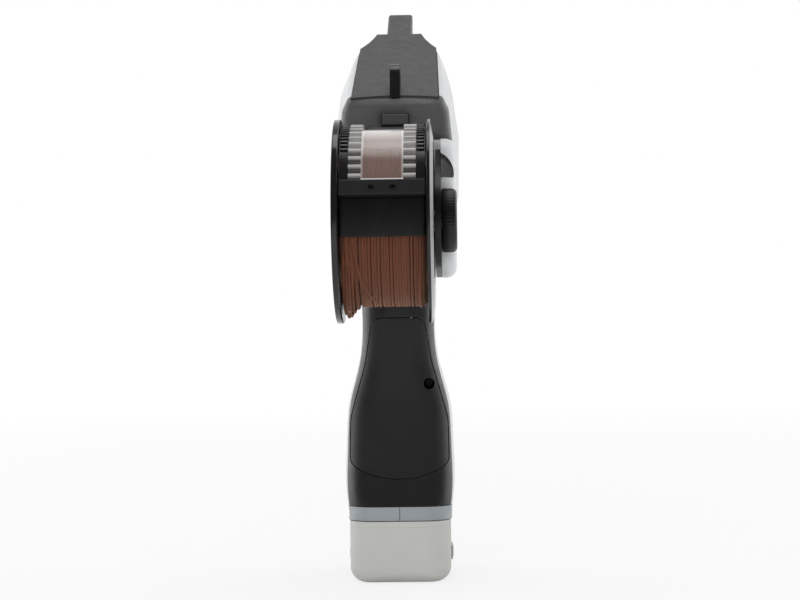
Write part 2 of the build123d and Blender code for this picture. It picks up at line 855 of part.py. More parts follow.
frame_screw = screw_places[-1][:2]
bearing_mid = twist_bearing_front - twist_bearing_width / 2
bearing_spot = along(bearing_mid)[1:]
cheek_faces = [
    link(jaw, cheek_round, frame_screw, boss_radius),
    link(jaw, cheek_round - slip, bearing_spot, cheek_round),
]
drive_faces = [
    link(jaw, cheek_round - 2 * slip, idler, boss_radius),
    link(idler, boss_radius - slip, pinion, cheek_round),
]
bearing_block = Plane(origin=along(bearing_mid), x_dir=(1, 0, 0), z_dir=(0, axis_y, axis_z)) * Pos(
    (left_cheek_x0 + cheek_x1) / 2, 0, 0
) * Box(cheek_x1 - left_cheek_x0, 2 * (twist_bearing_radius + 1.0), twist_bearing_width)
frame = bearing_block
for face in cheek_faces:
    frame = frame + plate_x(face, left_cheek_x0, left_cheek_x1) + plate_x(face, cheek_x0, cheek_x1)
for face in drive_faces:
    frame = frame + plate_x(face, cheek_x0, cheek_x1)
frame = frame + rod_x(gear_x0, cheek_x1, *idler, idler_pin_radius)
parts["jaw_frame"] = frame - [
    rod_x(-far, far, *jaw, jaw_pin_radius + seat),
    rod_x(-far, far, *frame_screw, screw_radius + seat),
    rod_x(cheek_x0, cheek_x1, *pinion, idler_pin_radius + running),
    rod_u(2 * bearing_mid, 0, twist_bearing_radius + seat),
]

# Twister
motor_front = twist_rear - twist_gearbox_length
parts["twist_motor"] = rod_u(motor_front - twist_motor_length, motor_front, twist_motor_radius)
parts["twist_gearbox"] = rod_u(motor_front, twist_rear, twist_gearbox_radius)
parts["twist_shaft"] = rod_u(twist_rear + running, twist_shaft_front, twist_shaft_radius)
bearing_rear = twist_bearing_front - twist_bearing_width
parts["twist_bearing"] = rod_u(bearing_rear, twist_bearing_front, twist_bearing_radius) - rod_u(
    2 * bearing_rear, 0, twist_shaft_radius + running
)
twist_hook_rear = twist_shaft_front - 2.0
twist_hook_front = twist_hook_rear + twist_hook_length
twist_slot = Plane(origin=along(twist_hook_front), x_dir=(1, 0, 0), z_dir=(0, axis_y, axis_z)) * Box(
    4 * twist_hook_radius, twist_hook_slot, 1.3 * twist_hook_length
)
parts["twist_hook"] = rod_u(twist_hook_rear, twist_hook_front, twist_hook_radius) - [
    rod_u(twist_hook_rear, twist_shaft_front, twist_shaft_radius + seat),
    twist_slot,
]

# Wire feed
roller_x0 = wire_x - roller_width / 2
roller_x1 = wire_x + roller_width / 2
lever_x1 = roller_x0 - slip
lever_x0 = lever_x1 - lever_thick
feed_circles = [(*screw_places[4][:2], boss_radius), (*screw_places[5][:2], boss_radius)]
feed_circles += [(*feed, feed_shaft_radius * 2), (*lever, lever_pin_radius * 2)]
feed_edges = []
for y, z, radius in feed_circles:
    feed_edges += (Pos(y, z) * Circle(radius)).edges()
feed_frame = plate_x(make_hull(feed_edges), feed_plate_x, feed_plate_end)
feed_frame = feed_frame + rod_x(lever_x0 - slip, feed_plate_end, *lever, lever_pin_radius)
parts["feed_frame"] = feed_frame - [
    rod_x(0, far, *feed, feed_shaft_radius + running),
    rod_x(0, far, *screw_places[4][:2], screw_radius + seat),
    rod_x(0, far, *screw_places[5][:2], screw_radius + seat),
]
parts["feed_motor"] = rod_x(feed_plate_end, feed_plate_end + feed_motor_length, *feed, feed_motor_radius)
parts["feed_roller"] = rod_x(roller_x0, roller_x1, *feed, feed_roller_radius) + rod_x(
    roller_x1, feed_plate_end - running, *feed, feed_shaft_radius
)
parts["pinch_roller"] = rod_x(roller_x0, roller_x1, *pinch, pinch_roller_radius) - rod_x(
    -far, far, *pinch, lever_pin_radius + running
)
lever_plate = plate_x(link(lever, 2 * lever_pin_radius, pinch, 2 * lever_pin_radius), lever_x0, lever_x1)
parts["pinch_lever"] = (
    lever_plate
    + rod_x(lever_x0, roller_x1, *pinch, lever_pin_radius)
    - rod_x(-far, far, *lever, lever_pin_radius + running)
)
inlet = rod_y(head_rear_y - inlet_bore, head_rear_y, wire_x, inlet_z, inlet_flange)
inlet = inlet + rod_y(head_rear_y, head_rear_y + 2 * wall, wire_x, inlet_z, inlet_radius)
funnel = Pos(wire_x, head_rear_y - inlet_bore / 2, inlet_z) * Rot(90, 0, 0)
inlet = inlet - rod_y(-far, 0, wire_x, inlet_z, inlet_bore)
parts["wire_inlet"] = inlet - funnel * Cone(inlet_bore, inlet_radius, inlet_bore)
tube_first = (wire_x, *wire_point(tube_start))
tube_last = (wire_x, *wire_point(tube_end))
parts["wire_tube"] = rod_between(tube_first, tube_last, tube_radius) - rod_between(
    wire_start, wire_stop, tube_bore
)
cutter_rear = (wire_x, *wire_point(tube_end - cutter_length / 2))
cutter_front = (wire_x, *wire_point(tube_end + cutter_length / 2))
parts["cutter_bush"] = rod_between(cutter_rear, cutter_front, cutter_radius) - [
    rod_between(wire_start, tube_last, tube_radius + seat),
    rod_between(wire_start, wire_stop, tube_bore),
]

# Power button and control board
panel_inner = head_rear_y + wall
lip_y = panel_inner
button_half = button_width / 2
button_up = button_height / 2
button_face = head_rear_y - button_proud
button = block(-button_half, button_half, button_face, lip_y, button_z - button_up, button_z + button_up)
button_rim = button.faces().sort_by(Axis.Y)[0].edges()
button = fillet(button_rim, 0.8)
button_lip = 4 * slip
parts["power_button"] = button + block(
    -button_half - button_lip,
    button_half + button_lip,
    lip_y,
    lip_y + 2 * slip,
    button_z - button_up - button_lip,
    button_z + button_up + button_lip,
)
board_low = head_z + board_low_rise
board_high = head_z + board_high_rise
tact_face = lip_y + 2 * slip + button_travel + slip
board_plate = block(-board_half, board_half, board_y, board_y + board_thick, board_low, board_high)
tact = block(-button_up, button_up, tact_face, board_y, button_z - button_up, button_z + button_up)
parts["control_board"] = board_plate + tact

# Trigger and its switch
trigger_face = make_face(
    FilletPolyline(
        (trigger_y - 2.5, trigger_z + 3.4),
        (trigger_y + 10.0, trigger_z + 3.0),
        (trigger_back_y + 13.0, trigger_z - 5.0),
        (trigger_back_y + 11.5, trigger_z - 15.0),
        (trigger_back_y + 10.5, trigger_low_z + 4.0),
        (trigger_back_y + 5.0, trigger_low_z + 0.5),
        (trigger_back_y, trigger_low_z + 5.0),
        (trigger_back_y, trigger_z - 7.0),
        (trigger_y - 3.0, trigger_z - 3.5),
        radius=[2.0, 5.0, 4.0, 14.0, 3.0, 2.0, 1.5, 2.0, 2.0],
        close=True,
    )
)
trigger = plate_x(trigger_face, -trigger_half, trigger_half)
trigger = trigger + rod_x(-trigger_half, trigger_half, trigger_y, trigger_z, trigger_hub)
parts["trigger"] = trigger - rod_x(-far, far, trigger_y, trigger_z, trigger_pin_radius + running)
pin_reach = trigger_half + boss_radius
parts["trigger_pin"] = rod_x(-pin_reach, pin_reach, trigger_y, trigger_z, trigger_pin_radius)
plunger_z = head_z - plunger_drop
switch_rear_y = switch_front_y - switch_depth
plunger_hole = rod_y(switch_rear_y + 2.0, far, 0, plunger_z, plunger_radius + running)
parts["trigger_switch"] = (
    block(-switch_half, switch_half, switch_rear_y, switch_front_y, switch_top - switch_height, switch_top)
    - plunger_hole
)
parts["switch_plunger"] = rod_y(switch_front_y - 4.0, trigger_back_y - slip, 0, plunger_z, plunger_radius)

# Battery
base_top = battery_height - flange_thick
plan = RectangleRounded(battery_width, battery_length, battery_corner)
inner_plan = RectangleRounded(
    battery_width - 2 * battery_wall, battery_length - 2 * battery_wall, battery_corner - battery_wall
)
base = extrude(plan, base_top)
base = fillet(base.faces().sort_by(Axis.Z)[0].edges(), battery_toe)
hollow = extrude(Plane.XY.offset(battery_floor) * inner_plan, base_top)
hollow = fillet(hollow.faces().sort_by(Axis.Z)[0].edges(), battery_toe - battery_wall - 1.3)
side_x = battery_width / 2
latch_half = latch_length / 2
latch_up = latch_height / 2
windows = []
for side in (-1, 1):
    middle = Pos(side * side_x, 0, latch_z)
    windows.append(middle * Box(4 * battery_wall, latch_length + 2 * slip, latch_height + 2 * slip))
parts["battery_base"] = base - hollow - windows
stem_side = 2 * stem_half
stem_flange = extrude(Plane.XY.offset(base_top) * plan, flange_thick)
stem_plan = RectangleRounded(stem_side, stem_side, cell_radius)
stem_body = extrude(Plane.XY.offset(base_top) * stem_plan, stem_top - base_top)
stem_inner = stem_side - 2 * stem_wall
stem_hollow = extrude(
    Plane.XY.offset(base_top) * RectangleRounded(stem_inner, stem_inner, cell_radius - stem_wall),
    stem_top - base_top - stem_wall,
)
parts["battery_stem"] = stem_flange + stem_body - stem_hollow
cell_middle = cell_radius + cell_gap / 2
parts["battery_cells"] = Part() + [
    Pos(x, y, cell_floor + cell_length / 2) * Cylinder(cell_radius, cell_length)
    for x in (-cell_middle, cell_middle)
    for y in (-cell_middle, cell_middle)
]
blade_places = [-blade_pitch, 0.0, blade_pitch]
parts["battery_terminals"] = Part() + [
    Pos(x, 0, stem_top + blade_height / 2) * Box(blade_thick, blade_length, blade_height)
    for x in blade_places
]
block_body = Box(terminal_width, terminal_depth, terminal_height)
parts["terminal_block"] = Pos(0, 0, (terminal_z + terminal_top) / 2) * block_body - [
    Pos(x, 0, stem_top + (blade_height + slip) / 2)
    * Box(blade_thick + 2 * slip, blade_length + 2 * slip, blade_height + slip)
    for x in blade_places
]
for side, name in ((-1, "latch_left"), (1, "latch_right")):
    lip_x = side_x - battery_wall
    key = block(lip_x, side_x + latch_proud, -latch_half, latch_half, latch_z - latch_up, latch_z + latch_up)
    lip_half = latch_half + latch_overlap
    lip = block(lip_x - latch_lip, lip_x, -lip_half, lip_half, latch_z - latch_up, latch_z + latch_up)
    latch = key + lip
    parts[name] = latch if side > 0 else mirror(latch, Plane.YZ)

# Reel
reel = (reel_y, reel_z)


def tube_x(x0, x1, outer_radius, inner_radius):
    """Ring along X about the reel's axis."""
    return rod_x(x0, x1, *reel, outer_radius) - rod_x(x0, x1, *reel, inner_radius)


drum_left = reel_x - reel_half
drum_right = reel_x + reel_half
flange_bore = bush_radius + 2 * slip
hole_tools = [
    rod_x(-far, far, *around(reel, reel_hole_circle, 45.0 + 360.0 * k / reel_holes), reel_hole_radius)
    for k in range(reel_holes)
]
left_flange = tube_x(flange_left, drum_left, reel_radius, flange_bore) - hole_tools
# The right flange's open face slopes down to its rim, clear of the bracket
slope_start = reel_radius - rim_slope_width
past_rim = reel_radius + rim_slope_width
slope_section = Polyline(
    (flange_right, slope_start),
    (flange_right - 2 * rim_slope, past_rim),
    (flange_right + 2 * rim_slope, past_rim),
    (flange_right + 2 * rim_slope, slope_start),
    close=True,
)
slope_cut = Pos(0, *reel) * revolve(make_face(slope_section), Axis.X)
right_flange = tube_x(drum_right, flange_right, reel_radius, flange_bore) - [*hole_tools, slope_cut]
for name, flange in (("reel_left_flange", left_flange), ("reel_right_flange", right_flange)):
    rims = flange.edges().filter_by(GeomType.CIRCLE).sort_by(SortBy.RADIUS)[-2:]
    parts[name] = fillet(rims, flange_round)
parts["reel_core"] = tube_x(drum_left, drum_right, core_radius, bush_radius + seat)
bush_bore = spindle_radius + running
parts["reel_bushes"] = Part() + [
    tube_x(drum_left, drum_left + bush_length, bush_radius, bush_bore),
    tube_x(drum_right - bush_length, drum_right, bush_radius, bush_bore),
]
bulk_radius = winding_radius - wire_diameter - 2 * running
parts["wire_bulk"] = tube_x(drum_left, drum_right, bulk_radius, core_radius + seat)
spindle_left = drum_left - slip
parts["reel_spindle"] = rod_x(spindle_left, bracket_x1, *reel, spindle_radius) + rod_x(
    bracket_x1, knob_x1 - wall, *reel, knob_stud_radius
)
parts["reel_retainer"] = rod_x(spindle_left - retainer_thick, spindle_left, *reel, retainer_radius)
bracket_edges = (Pos(*reel) * Circle(bracket_radius)).edges()
bracket_corners = [
    (bracket_screw_y, arm_low + boss_radius),
    (bracket_screw_y, arm_high - 2 * boss_radius),
]
for spot in bracket_corners:
    bracket_edges += (Pos(*spot) * Circle(boss_radius)).edges()
bracket = plate_x(make_hull(bracket_edges), bracket_x0, bracket_x1)
screw_end = arm_x1 - wall / 2
bracket_holes = [rod_x(bracket_x0, screw_end, *spot, screw_radius + seat) for spot in bracket_spots]
bracket_sinks = [
    rod_x(bracket_x0, bracket_x0 + bracket_thick / 2, *spot, screw_head_radius + seat)
    for spot in bracket_spots
]
spindle_seat = rod_x(0, far, *reel, spindle_radius + seat)
parts["reel_bracket"] = bracket - [spindle_seat, *bracket_holes, *bracket_sinks]
parts["right_housing"] = parts["right_housing"] - bracket_holes
parts["bracket_screws"] = Part() + [
    rod_x(bracket_x0, screw_end, *spot, screw_radius)
    + rod_x(bracket_x0, bracket_x0 + bracket_thick / 2, *spot, screw_head_radius)
    for spot in bracket_spots
]
knob = rod_x(knob_x0, knob_x1, *reel, knob_radius)
knob = chamfer(knob.faces().sort_by(Axis.X)[-1].edges(), knob_bevel)
flute_circle = knob_radius + knob_flute_radius - knob_flute_depth
flutes = [
    rod_x(0, far, *around(reel, flute_circle, 360.0 * (k + 0.5) / knob_flutes), knob_flute_radius)
    for k in range(knob_flutes)
]
knob_bore = rod_x(0, knob_x1 - wall + slip, *reel, knob_stud_radius + running)
parts["brake_knob"] = knob - [knob_bore, *flutes]


# Outer layer of the wire, wound as one tube
def helix(turn):
    """Point and heading on the winding after a number of turns."""
    angle = 2 * math.pi * turn
    side = Vector(0, math.cos(angle), math.sin(angle))
    lead = wire_pitch / (2 * math.pi)
    heading = Vector(lead, -lay_radius * math.sin(angle), lay_radius * math.cos(angle))
    return Vector(lay_start + wire_pitch * turn, reel_y, reel_z) + side * lay_radius, heading.normalized()


def biarc(start, heading, end, end_heading):
    """Two arcs that leave start along heading and reach end along end_heading."""
    chord = end - start
    both = chord.dot(heading + end_heading)
    bend = 2 * (1 - heading.dot(end_heading))
    reach = (-both + math.sqrt(both * both + bend * chord.dot(chord))) / bend
    first = start + heading * reach
    second = end - end_heading * reach
    middle = (first + second) / 2
    return [
        TangentArc(start, middle, tangent=heading),
        TangentArc(middle, end, tangent=second - first),
    ]


lay_radius = winding_radius - wire_diameter / 2
lay_start = drum_left + wire_diameter / 2 + slip
lay_turns = math.floor(2 * (reel_width - wire_diameter - 2 * slip) / wire_pitch) / 2
half_turns = int(2 * lay_turns)
lay = []
for k in range(half_turns):
    lay += biarc(*helix(k / 2), *helix((k + 1) / 2))
first_point, first_heading = helix(0)
last_point, last_heading = helix(half_turns / 2)
lead_in = Line(first_point - first_heading * wire_diameter, first_point)
lead_out = Line(last_point, last_point + last_heading * wire_diameter)
path = Wire([lead_in.edge(), *[arc.edge() for arc in lay], lead_out.edge()])
wire_section = Plane(origin=path @ 0, z_dir=path % 0) * Circle(wire_diameter / 2)
parts["wire_outer_layer"] = sweep(wire_section, path=path)
samples = [arc @ (n / 8) for arc in lay for n in range(8)]
per_turn = 32
wire_gap = min(
    (samples[i] - samples[j]).length
    for i in range(len(samples))
    for j in range(i + per_turn - 6, min(i + per_turn + 7, len(samples)))
)
print("turns", half_turns / 2, "least gap between turns", round(wire_gap - wire_diameter, 3))

# Reel guard
reel_guard_low = reel_angle(crossbar_angle)
reel_guard_high = reel_angle(window_high_angle)
bar_frame = Pos(reel_x, *reel) * Rot(-crossbar_angle, 0, 0)
under_bar_top = bar_frame * Pos(0, 0, (crossbar_height - far) / 2) * Box(2 * far, 2 * far, far)
over_bar_foot = bar_frame * Pos(0, 0, (far - crossbar_height) / 2) * Box(2 * far, 2 * far, far)
window = plate_x(
    ring_sector(reel, guard_inner, guard_window, reel_guard_high, reel_guard_low),
    reel_x - window_smooth_half,
    reel_x + window_smooth_half,
)
rib_count = int((window_high_angle - window_low_angle) / guard_rib_pitch)
for side in (-1, 1):
    near = reel_x + side * window_smooth_half
    edge = reel_x + side * window_half
    x0 = min(near, edge)
    x1 = max(near, edge)
    window = window + plate_x(
        ring_sector(reel, guard_inner, guard_collar, reel_guard_high, reel_guard_low), x0, x1
    )
    rib_angles = [reel_angle(window_low_angle + guard_rib_pitch * (k + 0.5)) for k in range(rib_count)]
    ribs = [rod_x(x0, x1, *around(reel, guard_collar, angle), guard_rib) for angle in rib_angles]
    window = window + ribs
parts["guard_window"] = window - under_bar_top
hinge_z = reel_z + (guard_inner + guard_collar) / 2
hinge = (hinge_y, hinge_z)
arm_half = reel_half - slip - reveal / 2
arm_sector = ring_sector(reel, guard_inner, guard_collar, 90.0, reel_guard_low)
guard_arms = []
for side in (-1, 1):
    near = reel_x + side * window_half
    edge = reel_x + side * arm_half
    x0 = min(near, edge)
    x1 = max(near, edge)
    guard_arm = plate_x(arm_sector, x0, x1) - under_bar_top
    guard_arm = guard_arm + block(x0, x1, reel_y, hinge_y, reel_z + guard_inner, reel_z + guard_collar)
    guard_arm = guard_arm + rod_x(x0, x1, *hinge, knuckle_radius)
    guard_arms.append(guard_arm - rod_x(x0, x1, *hinge, hinge_pin_radius + running))
parts["guard_arms"] = Part() + guard_arms
bar_depth = crossbar_outer - guard_inner
crossbar = Pos(0, -(guard_inner + crossbar_outer) / 2, 0) * Box(2 * arm_half, bar_depth, crossbar_height)
crossbar = bar_frame * crossbar
guard_screws = []
screw_seats = []
for x in (-guard_screw_pitch / 2, guard_screw_pitch / 2):
    spot = bar_frame * Pos(x, -crossbar_outer, 0) * Rot(90, 0, 0)
    guard_screws.append(spot * Cylinder(guard_screw_radius, bar_depth))
    screw_seats.append(spot * Cylinder(guard_screw_radius + seat, bar_depth))
guard_screw_trim = bar_frame * Pos(0, -crossbar_outer - slip - far / 2, 0) * Box(far, far, far)
parts["guard_crossbar"] = crossbar - screw_seats
parts["guard_screws"] = Part() + [screw - guard_screw_trim for screw in guard_screws]
flap_outer = flap_inner + flap_thick
flap_sector = ring_sector(reel, flap_inner, flap_outer, reel_guard_low, reel_angle(flap_low_angle))
parts["guard_flap"] = plate_x(flap_sector, reel_x - arm_half, reel_x + arm_half) - over_bar_foot
parts["guard_hinge_pin"] = rod_x(reel_x - arm_half, reel_x + arm_half, *hinge, hinge_pin_radius)
lug_root = (head_rear_y + wall / 2, head_z + panel_rise + knuckle_radius - slip)
lug_face = link(hinge, knuckle_radius, lug_root, knuckle_radius - 2 * slip)
lug = plate_x(lug_face, reel_x - lug_half, reel_x + lug_half) - [
    block(-far, far, lug_root[0], far, 0, 5 * far),
    rod_x(-far, far, *hinge, hinge_pin_radius + seat),
]
parts["rear_panel"] = parts["rear_panel"] + lug

os.makedirs("parts", exist_ok=True)
for name, shape in parts.items():
    export_step(shape, f"parts/{name}.step")
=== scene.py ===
import json
import math
import random

import bmesh
import bpy
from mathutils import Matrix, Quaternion, Vector


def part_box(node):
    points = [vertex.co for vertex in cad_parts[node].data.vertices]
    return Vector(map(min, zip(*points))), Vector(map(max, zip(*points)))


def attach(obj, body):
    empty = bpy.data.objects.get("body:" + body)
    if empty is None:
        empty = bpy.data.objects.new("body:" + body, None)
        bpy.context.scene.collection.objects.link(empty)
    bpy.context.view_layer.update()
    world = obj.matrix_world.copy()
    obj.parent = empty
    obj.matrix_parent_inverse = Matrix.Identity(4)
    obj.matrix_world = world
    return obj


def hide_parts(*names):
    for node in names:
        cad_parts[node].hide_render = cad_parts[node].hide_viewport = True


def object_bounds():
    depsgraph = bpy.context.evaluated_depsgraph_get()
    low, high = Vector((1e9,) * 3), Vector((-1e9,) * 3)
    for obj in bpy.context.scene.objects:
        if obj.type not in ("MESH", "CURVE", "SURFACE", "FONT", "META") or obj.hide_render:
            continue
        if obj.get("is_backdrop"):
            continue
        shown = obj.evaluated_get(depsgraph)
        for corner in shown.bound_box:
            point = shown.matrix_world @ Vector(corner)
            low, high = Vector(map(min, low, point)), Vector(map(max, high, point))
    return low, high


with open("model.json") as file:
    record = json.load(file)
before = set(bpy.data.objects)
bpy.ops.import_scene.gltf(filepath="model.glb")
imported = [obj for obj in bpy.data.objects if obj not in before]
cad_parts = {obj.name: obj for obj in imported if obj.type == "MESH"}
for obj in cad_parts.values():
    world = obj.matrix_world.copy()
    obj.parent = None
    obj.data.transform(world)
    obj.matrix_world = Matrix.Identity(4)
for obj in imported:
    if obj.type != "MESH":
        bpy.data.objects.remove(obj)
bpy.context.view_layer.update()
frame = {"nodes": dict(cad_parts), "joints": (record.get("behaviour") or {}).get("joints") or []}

# Electric vine tying tool, dressed for rendering. Metres, in the CAD frame:
# +Y towards the jaw, +Z up, +X to the right as seen from behind.
# Angles round the reel are in degrees and climb from straight back over the top.
MM = 0.001
draw = random.Random(7)

# The reel's axis comes from its joint, and the sizes after it repeat those of the CAD source
reel_joint = next(joint for joint in frame["joints"] if joint["name"] == "reel_spin")
REEL_Y, REEL_Z = reel_joint["pos_m"][1:]
# Reel: middle and half of the room between its flanges, the wire and its outer layer's radius, and the
# left flange's open face
REEL_X = -4.0 * MM
DRUM_HALF = 21.3 * MM
WIRE = 1.3 * MM
LAY_RADIUS = 42.35 * MM
FLANGE_FACE = -28.5 * MM
# Blue-grey collar at the foot of the handle, and the foot of the head
COLLAR_LOW = 32.7 * MM
COLLAR_TOP = 40.2 * MM
HEAD_LOW = 152.0 * MM
# Guard: half widths of its smooth window, ribbed collars and arms, the arms' radius, its ribs and crossbar
WINDOW_SMOOTH = 10.2 * MM
WINDOW_HALF = 16.3 * MM
ARM_HALF = 20.8 * MM
ARM_RADIUS = 47.4 * MM
RIB_PITCH = 6.2
FIRST_RIB = 22.5 + RIB_PITCH / 2
CROSSBAR_ANGLE = 17.4
CROSSBAR_FACE = 49.0 * MM


def linear(code):
    """Linear colour of an sRGB hex value."""
    values = [int(code[k : k + 2], 16) / 255 for k in (1, 3, 5)]
    return tuple(v / 12.92 if v <= 0.04045 else ((v + 0.055) / 1.055) ** 2.4 for v in values) + (1.0,)


def add(tree, kind, sockets=None, **settings):
    """Add a shader node; a socket takes a value, an output, or a node for its first output in use."""
    made = tree.nodes.new("ShaderNode" + kind)
    for name, value in settings.items():
        setattr(made, name, value)
    for name, value in (sockets or {}).items():
        if isinstance(value, bpy.types.Node):
            value = next(output for output in value.outputs if output.enabled)
        if isinstance(value, bpy.types.NodeSocket):
            tree.links.new(value, made.inputs[name])
        else:
            made.inputs[name].default_value = value
    return made


def start_material(name):
    """Empty material and its node tree."""
    material = bpy.data.materials.new(name)
    material.use_nodes = True
    material.node_tree.nodes.clear()
    return material, material.node_tree


# Moulded finishes: slow cloudiness, rubbed patches that are duller or glossier, and the mould's grain
CLOUD_SIZE = 18 * MM
RUBBED_SIZE = 6 * MM
RUBBED_SWING = 0.07
GRAIN_STRENGTH = 0.6


def moulded(name, colour, shade, roughness, grain_mm, depth_mm, edge_mm=0.35, collar=None, ior=1.52):
    """Injection-moulded plastic or rubber with a spark-eroded grain.

    The real grain is about a tenth of a millimetre wide. grain_mm is coarser, so that it shows.
    """
    material, tree = start_material(name)
    place = add(tree, "TexCoord").outputs["Object"]
    cloud = add(tree, "TexNoise", {"Vector": place, "Scale": 1 / CLOUD_SIZE, "Detail": 5.0})
    cloud.inputs["Roughness"].default_value = 0.6
    tint = add(tree, "Mix", {"Factor": cloud, "A": linear(shade), "B": linear(colour)}, data_type="RGBA")
    if collar:
        height = add(tree, "SeparateXYZ", {"Vector": place}).outputs["Z"]
        below = add(tree, "Math", {0: height, 1: COLLAR_TOP}, operation="LESS_THAN")
        tint = add(tree, "Mix", {"Factor": below, "A": tint, "B": linear(collar)}, data_type="RGBA")
    rubbed = add(tree, "TexNoise", {"Vector": place, "Scale": 1 / RUBBED_SIZE, "Detail": 6.0})
    rubbed.inputs["Roughness"].default_value = 0.7
    dull = add(tree, "MapRange", {"Value": rubbed, "From Min": 0.3, "From Max": 0.7})
    dull.inputs["To Min"].default_value = roughness - RUBBED_SWING
    dull.inputs["To Max"].default_value = roughness + RUBBED_SWING
    grain = add(tree, "TexNoise", {"Vector": place, "Scale": 1 / (grain_mm * MM), "Detail": 2.0})
    soft_edge = add(tree, "Bevel", {"Radius": edge_mm * MM}, samples=4)
    relief = add(tree, "Bump", {"Height": grain, "Normal": soft_edge, "Strength": GRAIN_STRENGTH})
    relief.inputs["Distance"].default_value = depth_mm * MM
    shader = add(tree, "BsdfPrincipled", {"Base Color": tint, "Roughness": dull, "Normal": relief})
    shader.inputs["IOR"].default_value = ior
    add(tree, "OutputMaterial", {"Surface": shader})
    return material


# Satin white ABS of the housing halves; the collar at its foot is moulded blue-grey
white_abs = moulded("white_abs", "#DEE0E1", "#D6D8D9", 0.36, 0.5, 0.02, collar="#8F9599")
# Grey ABS of the cover and nose, lightly sparked, so it looks satin
cover_abs = moulded("grey_cover_abs", "#303032", "#2A2A2C", 0.4, 0.45, 0.03, edge_mm=1.0)
# Dark grey ABS of the rear panel, painted paler than the same dark plastic of the cover: painted light that
# makes up for the shade the panel lies in. Its edges are softly rounded and shade off
panel_abs = moulded("dark_panel_abs", "#565658", "#4E4E50", 0.32, 0.5, 0.03, edge_mm=7.0)
# Soft grip rubber of the backstrap: coarse leather-like stipple, dull
strap_tpe = moulded("backstrap_rubber", "#151516", "#101011", 0.46, 0.9, 0.05)
# Firmer rubber of the overmould round it, satin, so its sides catch the light
over_tpe = moulded("overmould_rubber", "#171718", "#121213", 0.34, 0.8, 0.02)
# Glossy black nylon of the reel, which mirrors the white sweep at a slant
reel_nylon = moulded("reel_nylon", "#121213", "#0C0C0D", 0.14, 0.6, 0.006)
# Dull black ABS of the reel bracket and brake knob, a darker copy of the black nylon: painted shade that
# keeps the bracket's flat face, lit by the fill lamp, as dark as the knob. Its low IOR stands for a dusty
# skin
bracket_abs = moulded("black_bracket_abs", "#0D0D0E", "#09090A", 0.42, 0.5, 0.02, ior=1.46)
# Black nylon of the arms, eye, trigger and small fittings, with a slight moulding sheen
black_nylon = moulded("black_nylon", "#121213", "#0C0C0D", 0.24, 0.6, 0.015)
# Glass-filled nylon of the guard's crossbar: a little greyer, with rounded edges that catch the light
bar_nylon = moulded("glass_filled_nylon", "#1E1E20", "#171719", 0.34, 0.5, 0.03, edge_mm=0.8)
# Satin ABS of the power button, between the panel and the nylon in tone
button_abs = moulded("button_abs", "#48484A", "#404042", 0.34, 0.4, 0.02)
# Neoprene rubber of the flap, nearly without gloss; its low IOR stands for a dusty skin
flap_rubber = moulded("neoprene_flap", "#0B0B0B", "#060606", 0.44, 0.7, 0.05, ior=1.34)
# Pale grey ABS of the battery, satin and evenly grained
battery_abs = moulded("battery_abs", "#BCBDB8", "#B4B5B0", 0.42, 0.5, 0.02)
# Acetal of the battery's latches, a shade darker than the battery
latch_acetal = moulded("latch_acetal", "#B6B7B2", "#ACADA8", 0.4, 0.5, 0.02)
# Shrink film round the cells: smooth and blue, in slow ripples
cell_film = moulded("cell_film", "#2C5C8C", "#254E78", 0.28, 2.0, 0.02)
# Solder mask of the circuit board: green lacquer with a faint ripple
solder_mask = moulded("solder_mask", "#14532E", "#0F4526", 0.3, 1.2, 0.02)


# Metal finishes: tool marks that are duller or glossier, and slight tarnish
STAIN_SIZE = 5 * MM
MARK_SWING = 0.1
MARK_STRENGTH = 0.25
MARK_DEPTH = 0.02 * MM


def metal(name, colour, shade, roughness, mark_mm, stretch):
    """Machined, blasted or plated metal; a stretch below 1 draws its marks out along that axis.

    Real marks are a few hundredths of a millimetre wide. mark_mm is coarser, so that they show.
    """
    material, tree = start_material(name)
    place = add(tree, "TexCoord").outputs["Object"]
    drawn = add(tree, "Mapping", {"Vector": place, "Scale": stretch})
    mark = add(tree, "TexNoise", {"Vector": drawn, "Scale": 1 / (mark_mm * MM), "Detail": 3.0})
    stain = add(tree, "TexNoise", {"Vector": place, "Scale": 1 / STAIN_SIZE, "Detail": 4.0})
    tint = add(tree, "Mix", {"Factor": stain, "A": linear(shade), "B": linear(colour)}, data_type="RGBA")
    dull = add(tree, "MapRange", {"Value": mark})
    dull.inputs["To Min"].default_value = roughness - MARK_SWING
    dull.inputs["To Max"].default_value = roughness + MARK_SWING
    relief = add(tree, "Bump", {"Height": mark, "Strength": MARK_STRENGTH, "Distance": MARK_DEPTH})
    shader = add(tree, "BsdfPrincipled", {"Base Color": tint, "Roughness": dull, "Normal": relief})
    shader.inputs["Metallic"].default_value = 1.0
    add(tree, "OutputMaterial", {"Surface": shader})
    return material


# Bright machined steel, its marks drawn along the tool
bright_steel = metal("machined_steel", "#C9C9C8", "#B4B4B3", 0.32, 0.15, (1.0, 0.08, 1.0))
# Hardened steel of the hooks, twist shaft and cutter, bead-blasted, so it is a duller and darker grey
blasted_steel = metal("bead_blasted_steel", "#818285", "#737477", 0.5, 0.3, (1.0, 1.0, 1.0))
# Zinc-plated motor cans: a cool grey, its marks drawn along the tool
plated_steel = metal("zinc_plated_steel", "#A9ABAD", "#98999B", 0.36, 0.2, (1.0, 0.1, 1.0))
# Turned brass of bushes and terminals: a warm yellow, its marks drawn across the tool
turned_brass = metal("turned_brass", "#C59A4F", "#B08840", 0.3, 0.15, (0.2, 1.0, 1.0))
# Blackened steel of the screws: dark, with a weak gleam
black_steel = metal("blackened_steel", "#3A3A3B", "#2C2C2D", 0.42, 0.2, (1.0, 1.0, 1.0))


# Clear guard: scuffs, drawn wider than real ones so that they show, and the parts of it that get painted
# light
SCUFF_WIDTH = 0.8 * MM
SCUFF_DEPTH = 0.02 * MM
RIM_ANGLES = (24.6, 25.1)
RIM_LIGHT = 0.65
STEP_WIDTH = 1.3 * MM
STEP_LIGHT = 0.35
COLLAR_COVER = 0.75


